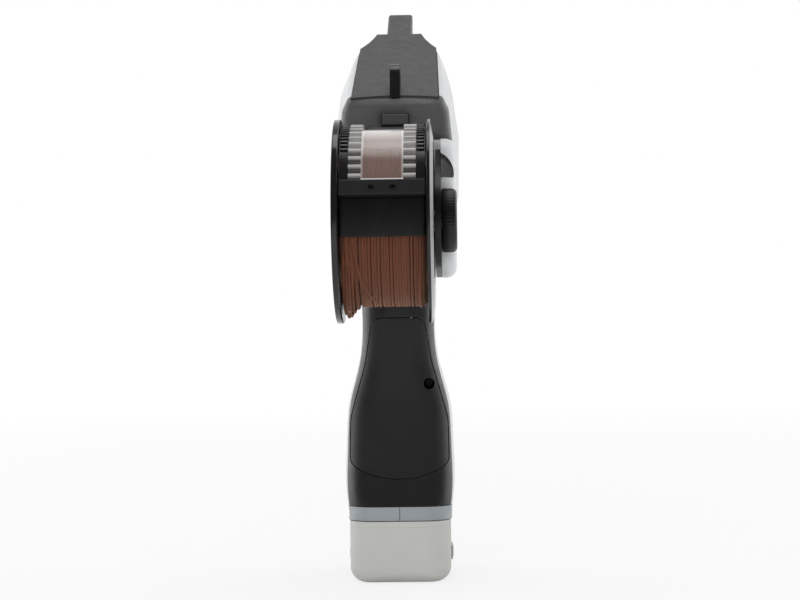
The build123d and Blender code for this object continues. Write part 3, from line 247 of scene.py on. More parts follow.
def clear_guard_material():
    """Clear moulded polycarbonate: glossy and scuffed, whitened by a painted reflection at a slant and by
    painted light on its ribbed collars.
    """
    material, tree = start_material("clear_polycarbonate")
    place = add(tree, "TexCoord").outputs["Object"]
    drawn = add(tree, "Mapping", {"Vector": place, "Scale": (1.0, 0.2, 0.2)})
    scuff = add(tree, "TexNoise", {"Vector": drawn, "Scale": 1 / SCUFF_WIDTH, "Detail": 4.0})
    dull = add(tree, "MapRange", {"Value": scuff, "From Min": 0.35, "From Max": 0.75})
    dull.inputs["To Min"].default_value = 0.1
    dull.inputs["To Max"].default_value = 0.2
    relief = add(tree, "Bump", {"Height": scuff, "Strength": 0.08, "Distance": SCUFF_DEPTH})
    # Seen at a slant it turns milky and white: a painted reflection of the white sweep, laid into its
    # colour and opacity
    slant = add(tree, "LayerWeight").outputs["Facing"]
    slant_reflection = add(tree, "MapRange", {"Value": slant, "From Min": 0.285, "From Max": 0.85})
    slant_reflection.inputs["To Min"].default_value = 0.25
    slant_reflection.inputs["To Max"].default_value = 0.97
    # Distance from the middle of the reel's width, and angle round its axis
    where = add(tree, "SeparateXYZ", {"Vector": place}).outputs
    off = add(tree, "Math", {0: where["X"], 1: REEL_X}, operation="SUBTRACT")
    off = add(tree, "Math", {0: off}, operation="ABSOLUTE")
    behind = add(tree, "Math", {0: REEL_Y, 1: where["Y"]}, operation="SUBTRACT")
    above = add(tree, "Math", {0: where["Z"], 1: REEL_Z}, operation="SUBTRACT")
    turn = add(tree, "Math", {0: above, 1: behind}, operation="ARCTAN2")
    # The collars get painted light on their rib tops and painted shade in their grooves, where they are
    # also clearer
    ribbed = add(tree, "Math", {0: off, 1: WINDOW_SMOOTH}, operation="GREATER_THAN")
    ribs_round = 360.0 / RIB_PITCH
    first_crest = math.radians(FIRST_RIB) * ribs_round
    wave = add(tree, "Math", {0: turn, 1: ribs_round, 2: -first_crest}, operation="MULTIPLY_ADD")
    crest = add(tree, "Math", {0: wave}, operation="COSINE")
    painted_light = add(tree, "MapRange", {"Value": crest, "From Min": -0.5, "From Max": 0.9})
    painted_light.inputs["To Min"].default_value = -0.4
    painted_light.inputs["To Max"].default_value = 0.2
    painted_light = add(tree, "Math", {0: ribbed, 1: painted_light}, operation="MULTIPLY")
    # Its rim above the crossbar and its steps up to the collars get painted light, as if they gathered
    # light at their edges
    rim_low, rim_high = [math.radians(angle) for angle in RIM_ANGLES]
    rim = add(tree, "MapRange", {"Value": turn, "From Min": rim_low, "From Max": rim_high})
    rim.inputs["To Min"].default_value = RIM_LIGHT
    rim.inputs["To Max"].default_value = 0.0
    step_start = WINDOW_SMOOTH - STEP_WIDTH
    step = add(tree, "MapRange", {"Value": off, "From Min": step_start, "From Max": WINDOW_SMOOTH})
    step.inputs["To Max"].default_value = STEP_LIGHT
    light = add(tree, "Math", {0: rim, 1: step}, operation="ADD")
    smooth = add(tree, "Math", {0: 1.0, 1: ribbed}, operation="SUBTRACT")
    painted_light = add(tree, "Math", {0: light, 1: smooth, 2: painted_light}, operation="MULTIPLY_ADD")
    # Painted reflection and painted light make the guard whiter and less clear
    cover = add(tree, "Math", {0: slant_reflection, 1: painted_light}, operation="ADD", use_clamp=True)
    # Its clear part takes the wire's brown, and the collars take a dark grey that shows as painted shade in
    # their grooves
    deep = add(tree, "Mix", {"Factor": ribbed, "A": linear("#7A4024")}, data_type="RGBA")
    deep.inputs["B"].default_value = linear("#3F3B39")
    guard_colour = add(tree, "Mix", {"Factor": cover, "A": deep, "B": linear("#FBFAF8")}, data_type="RGBA")
    milky = add(tree, "Math", {0: ribbed, 1: COLLAR_COVER}, operation="MULTIPLY")
    shown = add(tree, "Math", {0: cover, 1: milky}, operation="MAXIMUM")
    surface = {"Base Color": guard_colour, "Roughness": dull, "Normal": relief, "Alpha": shown, "IOR": 1.58}
    shader = add(tree, "BsdfPrincipled", surface)
    add(tree, "OutputMaterial", {"Surface": shader})
    return material


# Paper-covered wire: its fibres are drawn wider than real ones so that they show. The strand's map counts
# in wire diameters, where this scale of the wave puts a seam about every 0.9 mm along the strand
FIBRE_SIZE = 0.7 * MM
FIBRE_DEPTH = 0.08 * MM
SEAM_SCALE = 0.9


def paper_wire_material():
    """Kraft paper twisted round thin wire: fibres, a slanting wrap seam, each turn in its own tone. The
    tone also carries painted shade beside the flanges and on the packed turns.
    """
    material, tree = start_material("kraft_paper_wire")
    along = add(tree, "UVMap", uv_map="strand")
    place = add(tree, "TexCoord").outputs["Object"]
    tone = add(tree, "Attribute", attribute_name="tone").outputs["Fac"]
    fibre = add(tree, "TexNoise", {"Vector": place, "Scale": 1 / FIBRE_SIZE, "Detail": 5.0})
    fibre.inputs["Roughness"].default_value = 0.65
    paper = add(tree, "Mix", {"Factor": fibre, "A": linear("#582E1C")}, data_type="RGBA")
    paper.inputs["B"].default_value = linear("#7D472E")
    turn = add(tree, "Mix", {"Factor": tone, "A": paper, "B": linear("#2C150B")}, data_type="RGBA")
    wrap = add(tree, "TexWave", {"Vector": along, "Scale": SEAM_SCALE, "Distortion": 1.2, "Detail": 2.0})
    wrap.bands_direction = "DIAGONAL"
    seam = add(tree, "MapRange", {"Value": wrap.outputs["Fac"], "From Min": 0.0, "From Max": 0.25})
    seamed = add(tree, "Mix", {"Factor": seam, "A": linear("#3E2014"), "B": turn}, data_type="RGBA")
    relief = add(tree, "Bump", {"Height": fibre, "Strength": 0.5, "Distance": FIBRE_DEPTH})
    shader = add(tree, "BsdfPrincipled", {"Base Color": seamed, "Normal": relief, "Roughness": 0.75})
    shader.inputs["IOR"].default_value = 1.4
    shader.inputs["Sheen Weight"].default_value = 0.35
    shader.inputs["Sheen Roughness"].default_value = 0.45
    shader.inputs["Sheen Tint"].default_value = linear("#E9B99E")
    add(tree, "OutputMaterial", {"Surface": shader})
    return material


clear_polycarbonate = clear_guard_material()
kraft_paper = paper_wire_material()

finishes = {
    white_abs: ["left_housing", "right_housing"],
    cover_abs: ["top_cover", "nose"],
    panel_abs: ["rear_panel"],
    strap_tpe: ["grip_backstrap"],
    over_tpe: ["grip_overmould"],
    black_nylon: [
        "hanging_eye", "guard_arms", "trigger", "switch_plunger", "trigger_switch", "terminal_block",
        "wire_inlet",
    ],
    reel_nylon: ["reel_left_flange", "reel_right_flange", "reel_core"],
    bracket_abs: ["reel_bracket", "brake_knob"],
    bar_nylon: ["guard_crossbar"],
    button_abs: ["power_button"],
    flap_rubber: ["guard_flap"],
    clear_polycarbonate: ["guard_window"],
    kraft_paper: ["wire_bulk", "wire_outer_layer"],
    battery_abs: ["battery_base", "battery_stem"],
    latch_acetal: ["latch_left", "latch_right"],
    cell_film: ["battery_cells"],
    solder_mask: ["control_board"],
    bright_steel: [
        "jaw_pin", "jaw_frame", "jaw_idler_gear", "jaw_pinion", "feed_roller", "feed_frame", "pinch_roller",
        "pinch_lever", "wire_tube", "trigger_pin", "guard_hinge_pin", "reel_spindle", "reel_retainer",
    ],
    blasted_steel: ["jaw_hook", "twist_hook", "twist_shaft", "cutter_bush"],
    plated_steel: ["jaw_motor", "twist_motor", "twist_gearbox", "feed_motor"],
    turned_brass: ["twist_bearing", "reel_bushes", "battery_terminals"],
    black_steel: ["housing_screws", "backstrap_screw", "bracket_screws", "guard_screws"],
}
for finish, names in finishes.items():
    for name in names:
        slots = frame["nodes"][name].data.materials
        slots.clear()
        slots.append(finish)


def piece(name, bm, material, body, slot, *nodes):
    """Turn a bmesh into a piece that rides on a body and may stand for CAD nodes."""
    bmesh.ops.recalc_face_normals(bm, faces=bm.faces)
    mesh = bpy.data.meshes.new(name)
    bm.to_mesh(mesh)
    bm.free()
    mesh.materials.append(material)
    made = bpy.data.objects.new(name, mesh)
    bpy.context.scene.collection.objects.link(made)
    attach(made, body)
    if nodes:
        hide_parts(*nodes)


def on_drum(x, radius, degrees):
    """Point at an angle round the reel's axis."""
    turn = math.radians(degrees)
    return Vector((x, REEL_Y - radius * math.cos(turn), REEL_Z + radius * math.sin(turn)))


def join(bm, first, second, smooth=False):
    """Faces between two rings of points; a ring of a single point is the middle of a disc."""
    count = max(len(first), len(second))
    made = []
    for s in range(count):
        t = (s + 1) % count
        near = [first[s % len(first)], first[t % len(first)]]
        far = [second[t % len(second)], second[s % len(second)]]
        face = bm.faces.new(tuple(dict.fromkeys(near + far)))
        face.smooth = smooth
        made.append(face)
    return made


# Wound wire: a tube with a map of its length and a tone, which the paper reads
WIRE_SIDES = 8


def start_winding():
    """Empty bmesh with the layers for the strand's map and its tone."""
    bm = bmesh.new()
    return bm, bm.loops.layers.uv.new("strand"), bm.verts.layers.float.new("tone")


def lay_wire(winding, points, tone):
    """Closed tube of wire along points near the drum."""
    bm, uv, tones = winding
    rings = []
    run = 0.0
    for k, point in enumerate(points):
        ahead = points[min(k + 1, len(points) - 1)]
        behind = points[max(k - 1, 0)]
        heading = (ahead - behind).normalized()
        outward = Vector((0.0, point.y - REEL_Y, point.z - REEL_Z)).normalized()
        across = heading.cross(outward).normalized()
        outward = across.cross(heading)
        run += (point - behind).length
        ring = []
        for s in range(WIRE_SIDES):
            turn = 2 * math.pi * s / WIRE_SIDES
            spoke = across * math.cos(turn) + outward * math.sin(turn)
            vertex = bm.verts.new(point + spoke * WIRE / 2)
            vertex[tones] = tone
            ring.append(vertex)
        rings.append((ring, run))
    for (first, near), (second, far) in zip(rings, rings[1:]):
        for s, face in enumerate(join(bm, first, second, smooth=True)):
            corners = ((near, s), (near, s + 1), (far, s + 1), (far, s))
            for loop, (length, side) in zip(face.loops, corners):
                loop[uv].uv = (length / WIRE, side / WIRE_SIDES)
    bm.faces.new(rings[0][0][::-1])
    bm.faces.new(rings[-1][0])


# Outer layer: turns lie in groups, with open gaps between the groups
GROUP_GAPS = [-17.9 * MM, -12.1 * MM, -8.3 * MM, -1.1 * MM, 8.0 * MM]
GAP_WIDTH = 0.75 * MM
TURNS = 28
STEPS_PER_TURN = 72
FLANGE_CLEAR = 0.3 * MM
SPARE_WIDTH = 0.8 * MM
LEAN = 0.12 * MM
BULGE = 0.25 * MM
LEAST_TONE = 0.05
RIPPLE_TONE = 0.22
# Painted shade beside the flanges
FLANGE_SHADE = 0.75
winding = start_winding()
pitch = (2 * DRUM_HALF - WIRE - SPARE_WIDTH - len(GROUP_GAPS) * GAP_WIDTH) / TURNS
x = REEL_X - DRUM_HALF + WIRE / 2 + FLANGE_CLEAR
gaps_left = list(GROUP_GAPS)
points = []
for turn in range(TURNS):
    advance = pitch
    if gaps_left and x > gaps_left[0]:
        gaps_left.pop(0)
        advance += GAP_WIDTH
    lean = draw.uniform(-LEAN, LEAN)
    bulge = draw.uniform(-BULGE, BULGE)
    phase = draw.uniform(0, 360)
    # A turn starts where the last one ended
    for k in range(1 if points else 0, STEPS_PER_TURN + 1):
        angle = 360.0 * k / STEPS_PER_TURN
        wave = math.sin(math.radians(angle + phase))
        shift = advance * k / STEPS_PER_TURN + lean * wave
        points.append(on_drum(x + shift, LAY_RADIUS + bulge * wave / 2, angle - 180))
    x += advance
lay_wire(winding, points, 0.0)
# Turns differ in tone, and those beside the flanges get painted shade, which makes them the darkest
bm, uv, tones = winding
for vertex in bm.verts:
    across_mm = vertex.co.x / MM
    ripple = math.sin(across_mm * 1.7 + math.sin(across_mm * 0.6) * 2)
    from_middle = (vertex.co.x - REEL_X) / DRUM_HALF
    vertex[tones] = LEAST_TONE + RIPPLE_TONE * ripple**2 + FLANGE_SHADE * from_middle**6
piece("wound_wire", bm, kraft_paper, "reel", "paper_wire", "wire_outer_layer")

# Packed turns below it, scalloped like the layers that show in the gaps and in the flanges' holes, and
# darkened with painted shade as they lie under the outer layer
PACKED_LOW = 20.1 * MM
PACKED_TOP = 41.45 * MM
PACKED_SHADE = 0.75
SIDE_ROWS = 15
TOP_ROWS = 30
SCALLOP_STEPS = 4
SIDE_CLEAR = 0.15 * MM
SIDE_SCALLOP = 0.35 * MM
TOP_SCALLOP = 0.45 * MM
SEGMENTS = 96
MAP_PER_SEGMENT = 2.0


def scallop(k):
    """Share of a scallop's depth at its k-th point."""
    return abs(math.cos(math.pi * k / SCALLOP_STEPS))


side_points = SIDE_ROWS * SCALLOP_STEPS
top_points = TOP_ROWS * SCALLOP_STEPS
top_half = DRUM_HALF - SIDE_CLEAR - SIDE_SCALLOP
left_side = []
for k in range(side_points + 1):
    rise = PACKED_LOW + (PACKED_TOP - PACKED_LOW) * k / side_points
    left_side.append((-DRUM_HALF + SIDE_CLEAR + SIDE_SCALLOP * scallop(k), rise))
profile = list(left_side)
for k in range(top_points + 1):
    along = -top_half + 2 * top_half * k / top_points
    profile.append((along, PACKED_TOP - TOP_SCALLOP * scallop(k)))
profile += [(-along, rise) for along, rise in reversed(left_side)]
bm, uv, tones = start_winding()
rings = []
for s in range(SEGMENTS):
    ring = [bm.verts.new(on_drum(REEL_X + along, rise, 360.0 * s / SEGMENTS)) for along, rise in profile]
    for vertex in ring:
        vertex[tones] = PACKED_SHADE
    rings.append(ring)
for s, (first, second) in enumerate(zip(rings, rings[1:] + rings[:1])):
    for k, face in enumerate(join(bm, first, second, smooth=True)):
        corners = ((s, k), (s, k + 1), (s + 1, k + 1), (s + 1, k))
        for loop, (step, across) in zip(face.loops, corners):
            loop[uv].uv = (step * MAP_PER_SEGMENT, across / SCALLOP_STEPS)
piece("packed_wire", bm, kraft_paper, "reel", "paper_wire", "wire_bulk")

# Loose strands: how deep their ends are tucked in, how slack turns sway and wander, and the darkest tones
CROSSING_TUCK = 0.4 * MM
SLACK_TUCK = 0.3 * MM
SLACK_SWAY = 0.4 * MM
SLACK_WANDER = 0.06 * MM
CROSSING_TONE = 0.35
SLACK_TONE = 0.4
STRAND_STEPS = 40


def cross_layer(winding, first_x, last_x, start, end, height):
    """Strand that runs aslant over the layer between two angles; x and height are in millimetres."""
    points = []
    for k in range(STRAND_STEPS + 1):
        share = k / STRAND_STEPS
        lift = math.sin(math.pi * share) ** 0.5 if 0 < k < STRAND_STEPS else 0.0
        x = (first_x + (last_x - first_x) * share**1.8) * MM
        radius = LAY_RADIUS - CROSSING_TUCK + (height * MM + CROSSING_TUCK) * lift
        points.append(on_drum(x, radius, start + (end - start) * share))
    lay_wire(winding, points, draw.uniform(0.0, CROSSING_TONE))


def hang_turn(winding, x, start, end, hang):
    """Slack turn that hangs off the layer between two angles; x and hang are in millimetres."""
    points = []
    for k in range(STRAND_STEPS + 1):
        share = k / STRAND_STEPS
        lift = math.sin(math.pi * share)
        wander = draw.uniform(-SLACK_WANDER, SLACK_WANDER)
        radius = LAY_RADIUS - SLACK_TUCK + (SLACK_TUCK + hang * MM) * lift**1.4
        points.append(on_drum(x * MM + wander - SLACK_SWAY * lift, radius, start + (end - start) * share))
    lay_wire(winding, points, draw.uniform(0.0, SLACK_TONE))


# Strands that cross the layer over its top and its far side, and turn with the reel
winding = start_winding()
for strand in ((3.0, 9.5, 150, 60, 0.85), (-3.5, 2.0, 240, 150, 0.85)):
    cross_layer(winding, *strand)
piece("crossing_strands", winding[0], kraft_paper, "reel", "paper_wire")

# Slack strands and turns: they slip on the layer and hang at its foot however the reel stands
winding = start_winding()
for strand in ((-18.8, -6.8, -4, -76, 0.85), (-18.2, -11.2, -2, -72, 0.8), (-22.2, -20.4, 12, -64, 0.8)):
    cross_layer(winding, *strand)
slack = [
    (-23.4, -20, -124, 4.4),
    (-22.0, -22, -122, 6.4),
    (-20.6, -24, -116, 6.2),
    (-19.2, -26, -112, 4.2),
    (-17.4, -30, -108, 2.0),
    (13.9, -30, -110, 0.9),
]
for strand in slack:
    hang_turn(winding, *strand)
piece("slack_turns", winding[0], kraft_paper, "tool", "paper_wire")

# Rubber flap under the crossbar: a sheet with soft creases that curls out at its foot
FLAP_HALF = 20.8 * MM
FLAP_INNER = 43.95 * MM
FLAP_THICK = 1.3 * MM
FLAP_TOP = 12.6
FLAP_LOW = -11.5
FLAP_COLUMNS = 48
FLAP_LINES = 28
FOOT_CURL = 0.35 * MM
FOOT_WAVE = 9.0
# The flap thins to this share at its free edges, over ramps as steep as these; its foot thins less
EDGE_THICK = 0.55
SIDE_RAMP = 12
FOOT_RAMP = 14
FOOT_LEAST = 0.35
# Each crease: its height, its place as a share of the half width, how it slants downwards, and its width
CREASES = [(0.4 * MM, 0.35, -0.3, 0.13), (0.3 * MM, 0.75, -0.15, 0.08), (0.3 * MM, -0.55, 0.15, 0.1)]


def flap_radius(across, share):
    """Inner radius of the flap, from -1 to 1 across it and from 0 at its top to 1 at its wavy foot."""
    crease = 0.0
    for height, place, slant, width in CREASES:
        crease += height * math.exp(-(((across - place - slant * share) / width) ** 2))
    foot = FOOT_CURL * share**3 * (1 + math.sin(across * FOOT_WAVE))
    return FLAP_INNER + crease * math.sin(math.pi * share) + foot


def flap_skin(bm, side):
    """Grid of points on the flap's inner (-1) or outer (1) face, thinned towards its free edges."""
    grid = []
    for i in range(FLAP_LINES + 1):
        share = i / FLAP_LINES
        angle = FLAP_TOP + (FLAP_LOW - FLAP_TOP) * share
        line = []
        for j in range(FLAP_COLUMNS + 1):
            across = 2 * j / FLAP_COLUMNS - 1
            edge = min(1.0, (1 - abs(across)) * SIDE_RAMP, (1 - share) * FOOT_RAMP + FOOT_LEAST)
            thick = FLAP_THICK * (EDGE_THICK + (1 - EDGE_THICK) * edge)
            radius = flap_radius(across, share) + FLAP_THICK / 2 + side * thick / 2
            line.append(bm.verts.new(on_drum(REEL_X + across * FLAP_HALF, radius, angle)))
        grid.append(line)
    return grid


bm = bmesh.new()
inside = flap_skin(bm, -1)
outside = flap_skin(bm, 1)
for i in range(FLAP_LINES):
    for j in range(FLAP_COLUMNS):
        bm.faces.new((inside[i][j], inside[i][j + 1], inside[i + 1][j + 1], inside[i + 1][j]))
        bm.faces.new((outside[i][j], outside[i + 1][j], outside[i + 1][j + 1], outside[i][j + 1]))
border = [(0, j) for j in range(FLAP_COLUMNS)]
border += [(i, FLAP_COLUMNS) for i in range(FLAP_LINES)]
border += [(FLAP_LINES, j) for j in range(FLAP_COLUMNS, 0, -1)]
border += [(i, 0) for i in range(FLAP_LINES, 0, -1)]
join(bm, [inside[i][j] for i, j in border], [outside[i][j] for i, j in border])
for face in bm.faces:
    face.smooth = True
piece("rubber_flap", bm, flap_rubber, "guard", "flap_rubber", "guard_flap")

# Screws with a cross recess: shares of the head's radius and height that shape the dome and the recess
DOME = [(1.0, 0.55), (0.88, 0.86), (0.68, 1.0)]
RECESS_ARM = 0.52
RECESS_HALF = 0.13
RECESS_TAPER = 0.8
RECESS_FLOOR = 0.3
SCREW_SIDES = 24


def cross_screw(bm, seat, axis, head_radius, head_height, shank_radius, shank_length):
    """Domed head on a plain shank; seat is the middle of the head's underside, and axis points out."""
    side = axis.orthogonal().normalized()
    over = axis.cross(side)

    def spot(across, up, along):
        """New point in the screw's own directions."""
        return bm.verts.new(seat + side * across + over * up + axis * along)

    levels = [(shank_radius, -shank_length), (shank_radius, 0.0), (head_radius, 0.0)]
    levels += [(head_radius * wide, head_height * high) for wide, high in DOME]
    turns = [2 * math.pi * s / SCREW_SIDES for s in range(SCREW_SIDES)]
    rings = []
    for radius, along in levels:
        rings.append([spot(radius * math.cos(t), radius * math.sin(t), along) for t in turns])
    bm.faces.new(rings[0][::-1])
    for first, second in zip(rings, rings[1:]):
        join(bm, first, second)
    arm = head_radius * RECESS_ARM
    half = head_radius * RECESS_HALF
    outline = [(half, half), (half, arm), (-half, arm), (-half, half), (-arm, half), (-arm, -half)]
    outline += [(-a, -b) for a, b in outline]
    rim = [spot(a, b, head_height) for a, b in outline]
    floor = [spot(a * RECESS_TAPER, b * RECESS_TAPER, head_height * RECESS_FLOOR) for a, b in outline]
    top = rings[-1]
    edges = [bm.edges.new(ends) for ends in zip(rim, rim[1:] + rim[:1])]
    edges += [bm.edges.get(ends) for ends in zip(top, top[1:] + top[:1])]
    bmesh.ops.triangle_fill(bm, use_beauty=True, use_dissolve=False, edges=edges)
    join(bm, rim, floor)
    bm.faces.new(floor)


right = Vector((1.0, 0.0, 0.0))
back = Vector((0.0, -1.0, 0.0))
# Head radius, head height and shank radius
housing_head = (2.6 * MM, 2.4 * MM, 1.5 * MM)
guard_head = (1.4 * MM, 0.7 * MM, 1.1 * MM)
GUARD_SHANK = 2.0 * MM
GUARD_SCREW_X = 5.2 * MM
BACKSTRAP_SHANK = 16.6 * MM
backstrap_seat = Vector((16.0 * MM, -14.0 * MM, COLLAR_LOW + 71.0 * MM))
# In millimetres: X of the screw head's seat, Y, height over the foot of the collar or head, shank length
collar_screws = [(9.0, 28.0, 16.0, 18.0), (9.0, 8.0, 81.6, 18.0)]
head_screws = [
    (9.0, 36.0, 47.0, 18.0),
    (9.0, 8.0, 104.0, 18.0),
    (11.4, -16.0, 36.0, 20.4),
    (11.4, 12.5, 43.0, 20.4),
    (19.5, 57.0, 117.0, 35.1),
]

bm = bmesh.new()
for foot, screws in ((COLLAR_LOW, collar_screws), (HEAD_LOW, head_screws)):
    for x, y, rise, length in screws:
        cross_screw(bm, Vector((x * MM, y * MM, foot + rise * MM)), right, *housing_head, length * MM)
piece("cross_housing_screws", bm, black_steel, "tool", "screw_black", "housing_screws")

bm = bmesh.new()
cross_screw(bm, backstrap_seat, back, *housing_head, BACKSTRAP_SHANK)
piece("cross_backstrap_screw", bm, black_steel, "tool", "screw_black", "backstrap_screw")

bm = bmesh.new()
bar_out = on_drum(0.0, 1.0, CROSSBAR_ANGLE) - on_drum(0.0, 0.0, 0.0)
for x in (-GUARD_SCREW_X, GUARD_SCREW_X):
    cross_screw(bm, on_drum(REEL_X + x, CROSSBAR_FACE, CROSSBAR_ANGLE), bar_out, *guard_head, GUARD_SHANK)
piece("cross_guard_screws", bm, black_steel, "guard", "screw_black", "guard_screws")

# Brake knob: rounded cap with a shallow dish, and a rim that is finely knurled
KNOB_BORE = 4.05 * MM
KNOB_CAP_THICK = 2.1 * MM
KNOB_BREAK = 0.7 * MM
CAP_ROUND = 2.6 * MM
CAP_STEPS = 6
DISH_RADII = (10.5 * MM, 9.5 * MM)
DISH_DEPTH = 0.5 * MM
KNURLS = 60
KNURL_DEPTH = 0.16 * MM
KNURL_STEPS = 6
KNURLED_CAP_STEPS = 2
knob_low, knob_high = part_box("brake_knob")
knob_rim = (knob_high[2] - knob_low[2]) / 2
inner_face = knob_low[0]
outer_face = knob_high[0]
bore_floor = outer_face - KNOB_CAP_THICK
dish_floor = outer_face - DISH_DEPTH
# Place along the reel's axis, radius, and whether the knurl cuts there
knob_profile = [
    (bore_floor, 0.0, False),
    (bore_floor, KNOB_BORE, False),
    (inner_face, KNOB_BORE, False),
    (inner_face, knob_rim - KNOB_BREAK, False),
    (inner_face + KNOB_BREAK, knob_rim, True),
]
for k in range(CAP_STEPS + 1):
    turn = math.pi / 2 * k / CAP_STEPS
    along = outer_face - CAP_ROUND + CAP_ROUND * math.sin(turn)
    knob_profile.append((along, knob_rim - CAP_ROUND + CAP_ROUND * math.cos(turn), k < KNURLED_CAP_STEPS))
knob_profile += [
    (outer_face, DISH_RADII[0], False),
    (dish_floor, DISH_RADII[1], False),
    (dish_floor, 0.0, False),
]
bm = bmesh.new()
rings = []
for along, radius, knurled in knob_profile:
    ring = []
    for s in range(KNURLS * KNURL_STEPS if radius else 1):
        angle = 360.0 * s / (KNURLS * KNURL_STEPS)
        groove = 0.5 - 0.5 * math.cos(math.radians(angle * KNURLS))
        cut = KNURL_DEPTH * groove if knurled else 0.0
        ring.append(bm.verts.new(on_drum(along, radius - cut, angle)))
    rings.append(ring)
for first, second in zip(rings, rings[1:]):
    join(bm, first, second, smooth=True)
piece("knurled_brake_knob", bm, bracket_abs, "brake_knob", "black_plastic", "brake_knob")

# Moulded ribs: the share of their height at which they start to narrow
RIB_WAIST = 0.7


def rib(bm, corners, rise, taper):
    """Rib on a four-cornered foot, raised along rise and narrowed by taper at its top."""
    middle = sum(corners, Vector()) / len(corners)
    foot = [bm.verts.new(corner) for corner in corners]
    waist = [bm.verts.new(corner + rise * RIB_WAIST) for corner in corners]
    top = [bm.verts.new(middle + (corner - middle) * taper + rise) for corner in corners]
    bm.faces.new(foot[::-1])
    bm.faces.new(top)
    join(bm, foot, waist)
    join(bm, waist, top)


# Ribs across the guard's arms, where they bend over the reel
ARM_RIBS = 13
ARM_RIB_START = 44.0
ARM_RIB_PITCH = 3.6
ARM_RIB_WIDTH = 1.5
ARM_RIB_RISE = 0.95 * MM
ARM_RIB_INSET = 0.3 * MM
ARM_RIB_SINK = 0.05 * MM
ARM_RIB_TAPER = 0.8
bm = bmesh.new()
foot = ARM_RADIUS - ARM_RIB_SINK
for side in (-1, 1):
    near = REEL_X + side * (WINDOW_HALF + ARM_RIB_INSET)
    edge = REEL_X + side * (ARM_HALF - ARM_RIB_INSET)
    for k in range(ARM_RIBS):
        low = ARM_RIB_START + ARM_RIB_PITCH * k
        high = low + ARM_RIB_WIDTH
        places = ((near, low), (edge, low), (edge, high), (near, high))
        corners = [on_drum(x, foot, turn) for x, turn in places]
        outward = on_drum(0.0, 1.0, (low + high) / 2) - on_drum(0.0, 0.0, 0.0)
        rib(bm, corners, outward * ARM_RIB_RISE, ARM_RIB_TAPER)
piece("guard_arm_ribs", bm, black_nylon, "guard", "black_plastic")

# Four stiffening ribs and a hub rim on the left flange's open face
FLANGE_RIB_RISE = 0.7 * MM
FLANGE_RIB_HALF = 0.8 * MM
FLANGE_RIB_TAPER = 0.96
FLANGE_RIB_RADII = (15.0 * MM, 38.0 * MM)
HUB_STEPS = 96
# Radius and rise of the hub rim, in millimetres
HUB_PROFILE = [(13.0, 0.0), (13.2, 0.5), (13.5, 0.7), (14.9, 0.7), (15.2, 0.5), (15.4, 0.0)]
bm = bmesh.new()
inner_radius, outer_radius = FLANGE_RIB_RADII
inner_turn = math.degrees(FLANGE_RIB_HALF / inner_radius)
outer_turn = math.degrees(FLANGE_RIB_HALF / outer_radius)
for angle in (0.0, 90.0, 180.0, 270.0):
    corners = [
        on_drum(FLANGE_FACE, inner_radius, angle - inner_turn),
        on_drum(FLANGE_FACE, outer_radius, angle - outer_turn),
        on_drum(FLANGE_FACE, outer_radius, angle + outer_turn),
        on_drum(FLANGE_FACE, inner_radius, angle + inner_turn),
    ]
    rib(bm, corners, Vector((-FLANGE_RIB_RISE, 0.0, 0.0)), FLANGE_RIB_TAPER)
rings = []
for k in range(HUB_STEPS):
    angle = 360.0 * k / HUB_STEPS
    ring = [on_drum(FLANGE_FACE - rise * MM, radius * MM, angle) for radius, rise in HUB_PROFILE]
    rings.append([bm.verts.new(point) for point in ring])
for first, second in zip(rings, rings[1:] + rings[:1]):
    join(bm, first, second)
piece("flange_ribs", bm, reel_nylon, "reel", "black_plastic")

# Five finger ribs on each of the battery's latches
LATCH_RIBS = 5
LATCH_RIB_PITCH = 3.2 * MM
LATCH_RIB_HALF = 0.6 * MM
LATCH_RIB_RISE = 0.4 * MM
LATCH_RIB_TAPER = 0.7
LATCH_MARGIN = 1.0 * MM
for side, name in ((-1, "latch_left"), (1, "latch_right")):
    latch_low, latch_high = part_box(name)
    face_x = latch_high[0] if side > 0 else latch_low[0]
    low = latch_low[2] + LATCH_MARGIN
    high = latch_high[2] - LATCH_MARGIN
    bm = bmesh.new()
    for k in range(LATCH_RIBS):
        middle_y = LATCH_RIB_PITCH * (k - (LATCH_RIBS - 1) / 2)
        rear = middle_y - LATCH_RIB_HALF
        front = middle_y + LATCH_RIB_HALF
        places = ((rear, low), (front, low), (front, high), (rear, high))
        corners = [Vector((face_x, y, z)) for y, z in places]
        rib(bm, corners, Vector((side * LATCH_RIB_RISE, 0.0, 0.0)), LATCH_RIB_TAPER)
    piece(name + "_ribs", bm, latch_acetal, name, "latch_grey")

# White floor: it keeps the tool's shadow, turns into the white sweep further off, and is mirrored mostly
# where it lies ahead of the tool
FLOOR_REACH = 6.0
corners = [(-1, -1), (1, -1), (1, 1), (-1, 1)]
floor_mesh = bpy.data.meshes.new("studio_floor")
floor_mesh.from_pydata([(x * FLOOR_REACH, y * FLOOR_REACH, 0) for x, y in corners], [], [(0, 1, 2, 3)])
floor = bpy.data.objects.new("studio_floor", floor_mesh)
bpy.context.scene.collection.objects.link(floor)
material, tree = start_material("white_studio_floor")
rays = add(tree, "LightPath")
place = add(tree, "TexCoord").outputs["Object"]
away = add(tree, "VectorMath", {0: place}, operation="LENGTH").outputs["Value"]
far = add(tree, "MapRange", {"Value": away, "From Min": 0.15, "From Max": 1.6, "To Min": 0.74})
ahead = add(tree, "SeparateXYZ", {"Vector": place}).outputs["Y"]
lit = add(tree, "MapRange", {"Value": ahead, "From Min": -0.5, "From Max": 0.3, "To Min": 0.1})
mirrored = add(tree, "Math", {0: rays.outputs["Is Glossy Ray"], 1: lit}, operation="MULTIPLY")
seen = add(tree, "Math", {0: rays.outputs["Is Camera Ray"], 1: mirrored}, operation="MAXIMUM")
share = add(tree, "Math", {0: seen, 1: far}, operation="MULTIPLY")
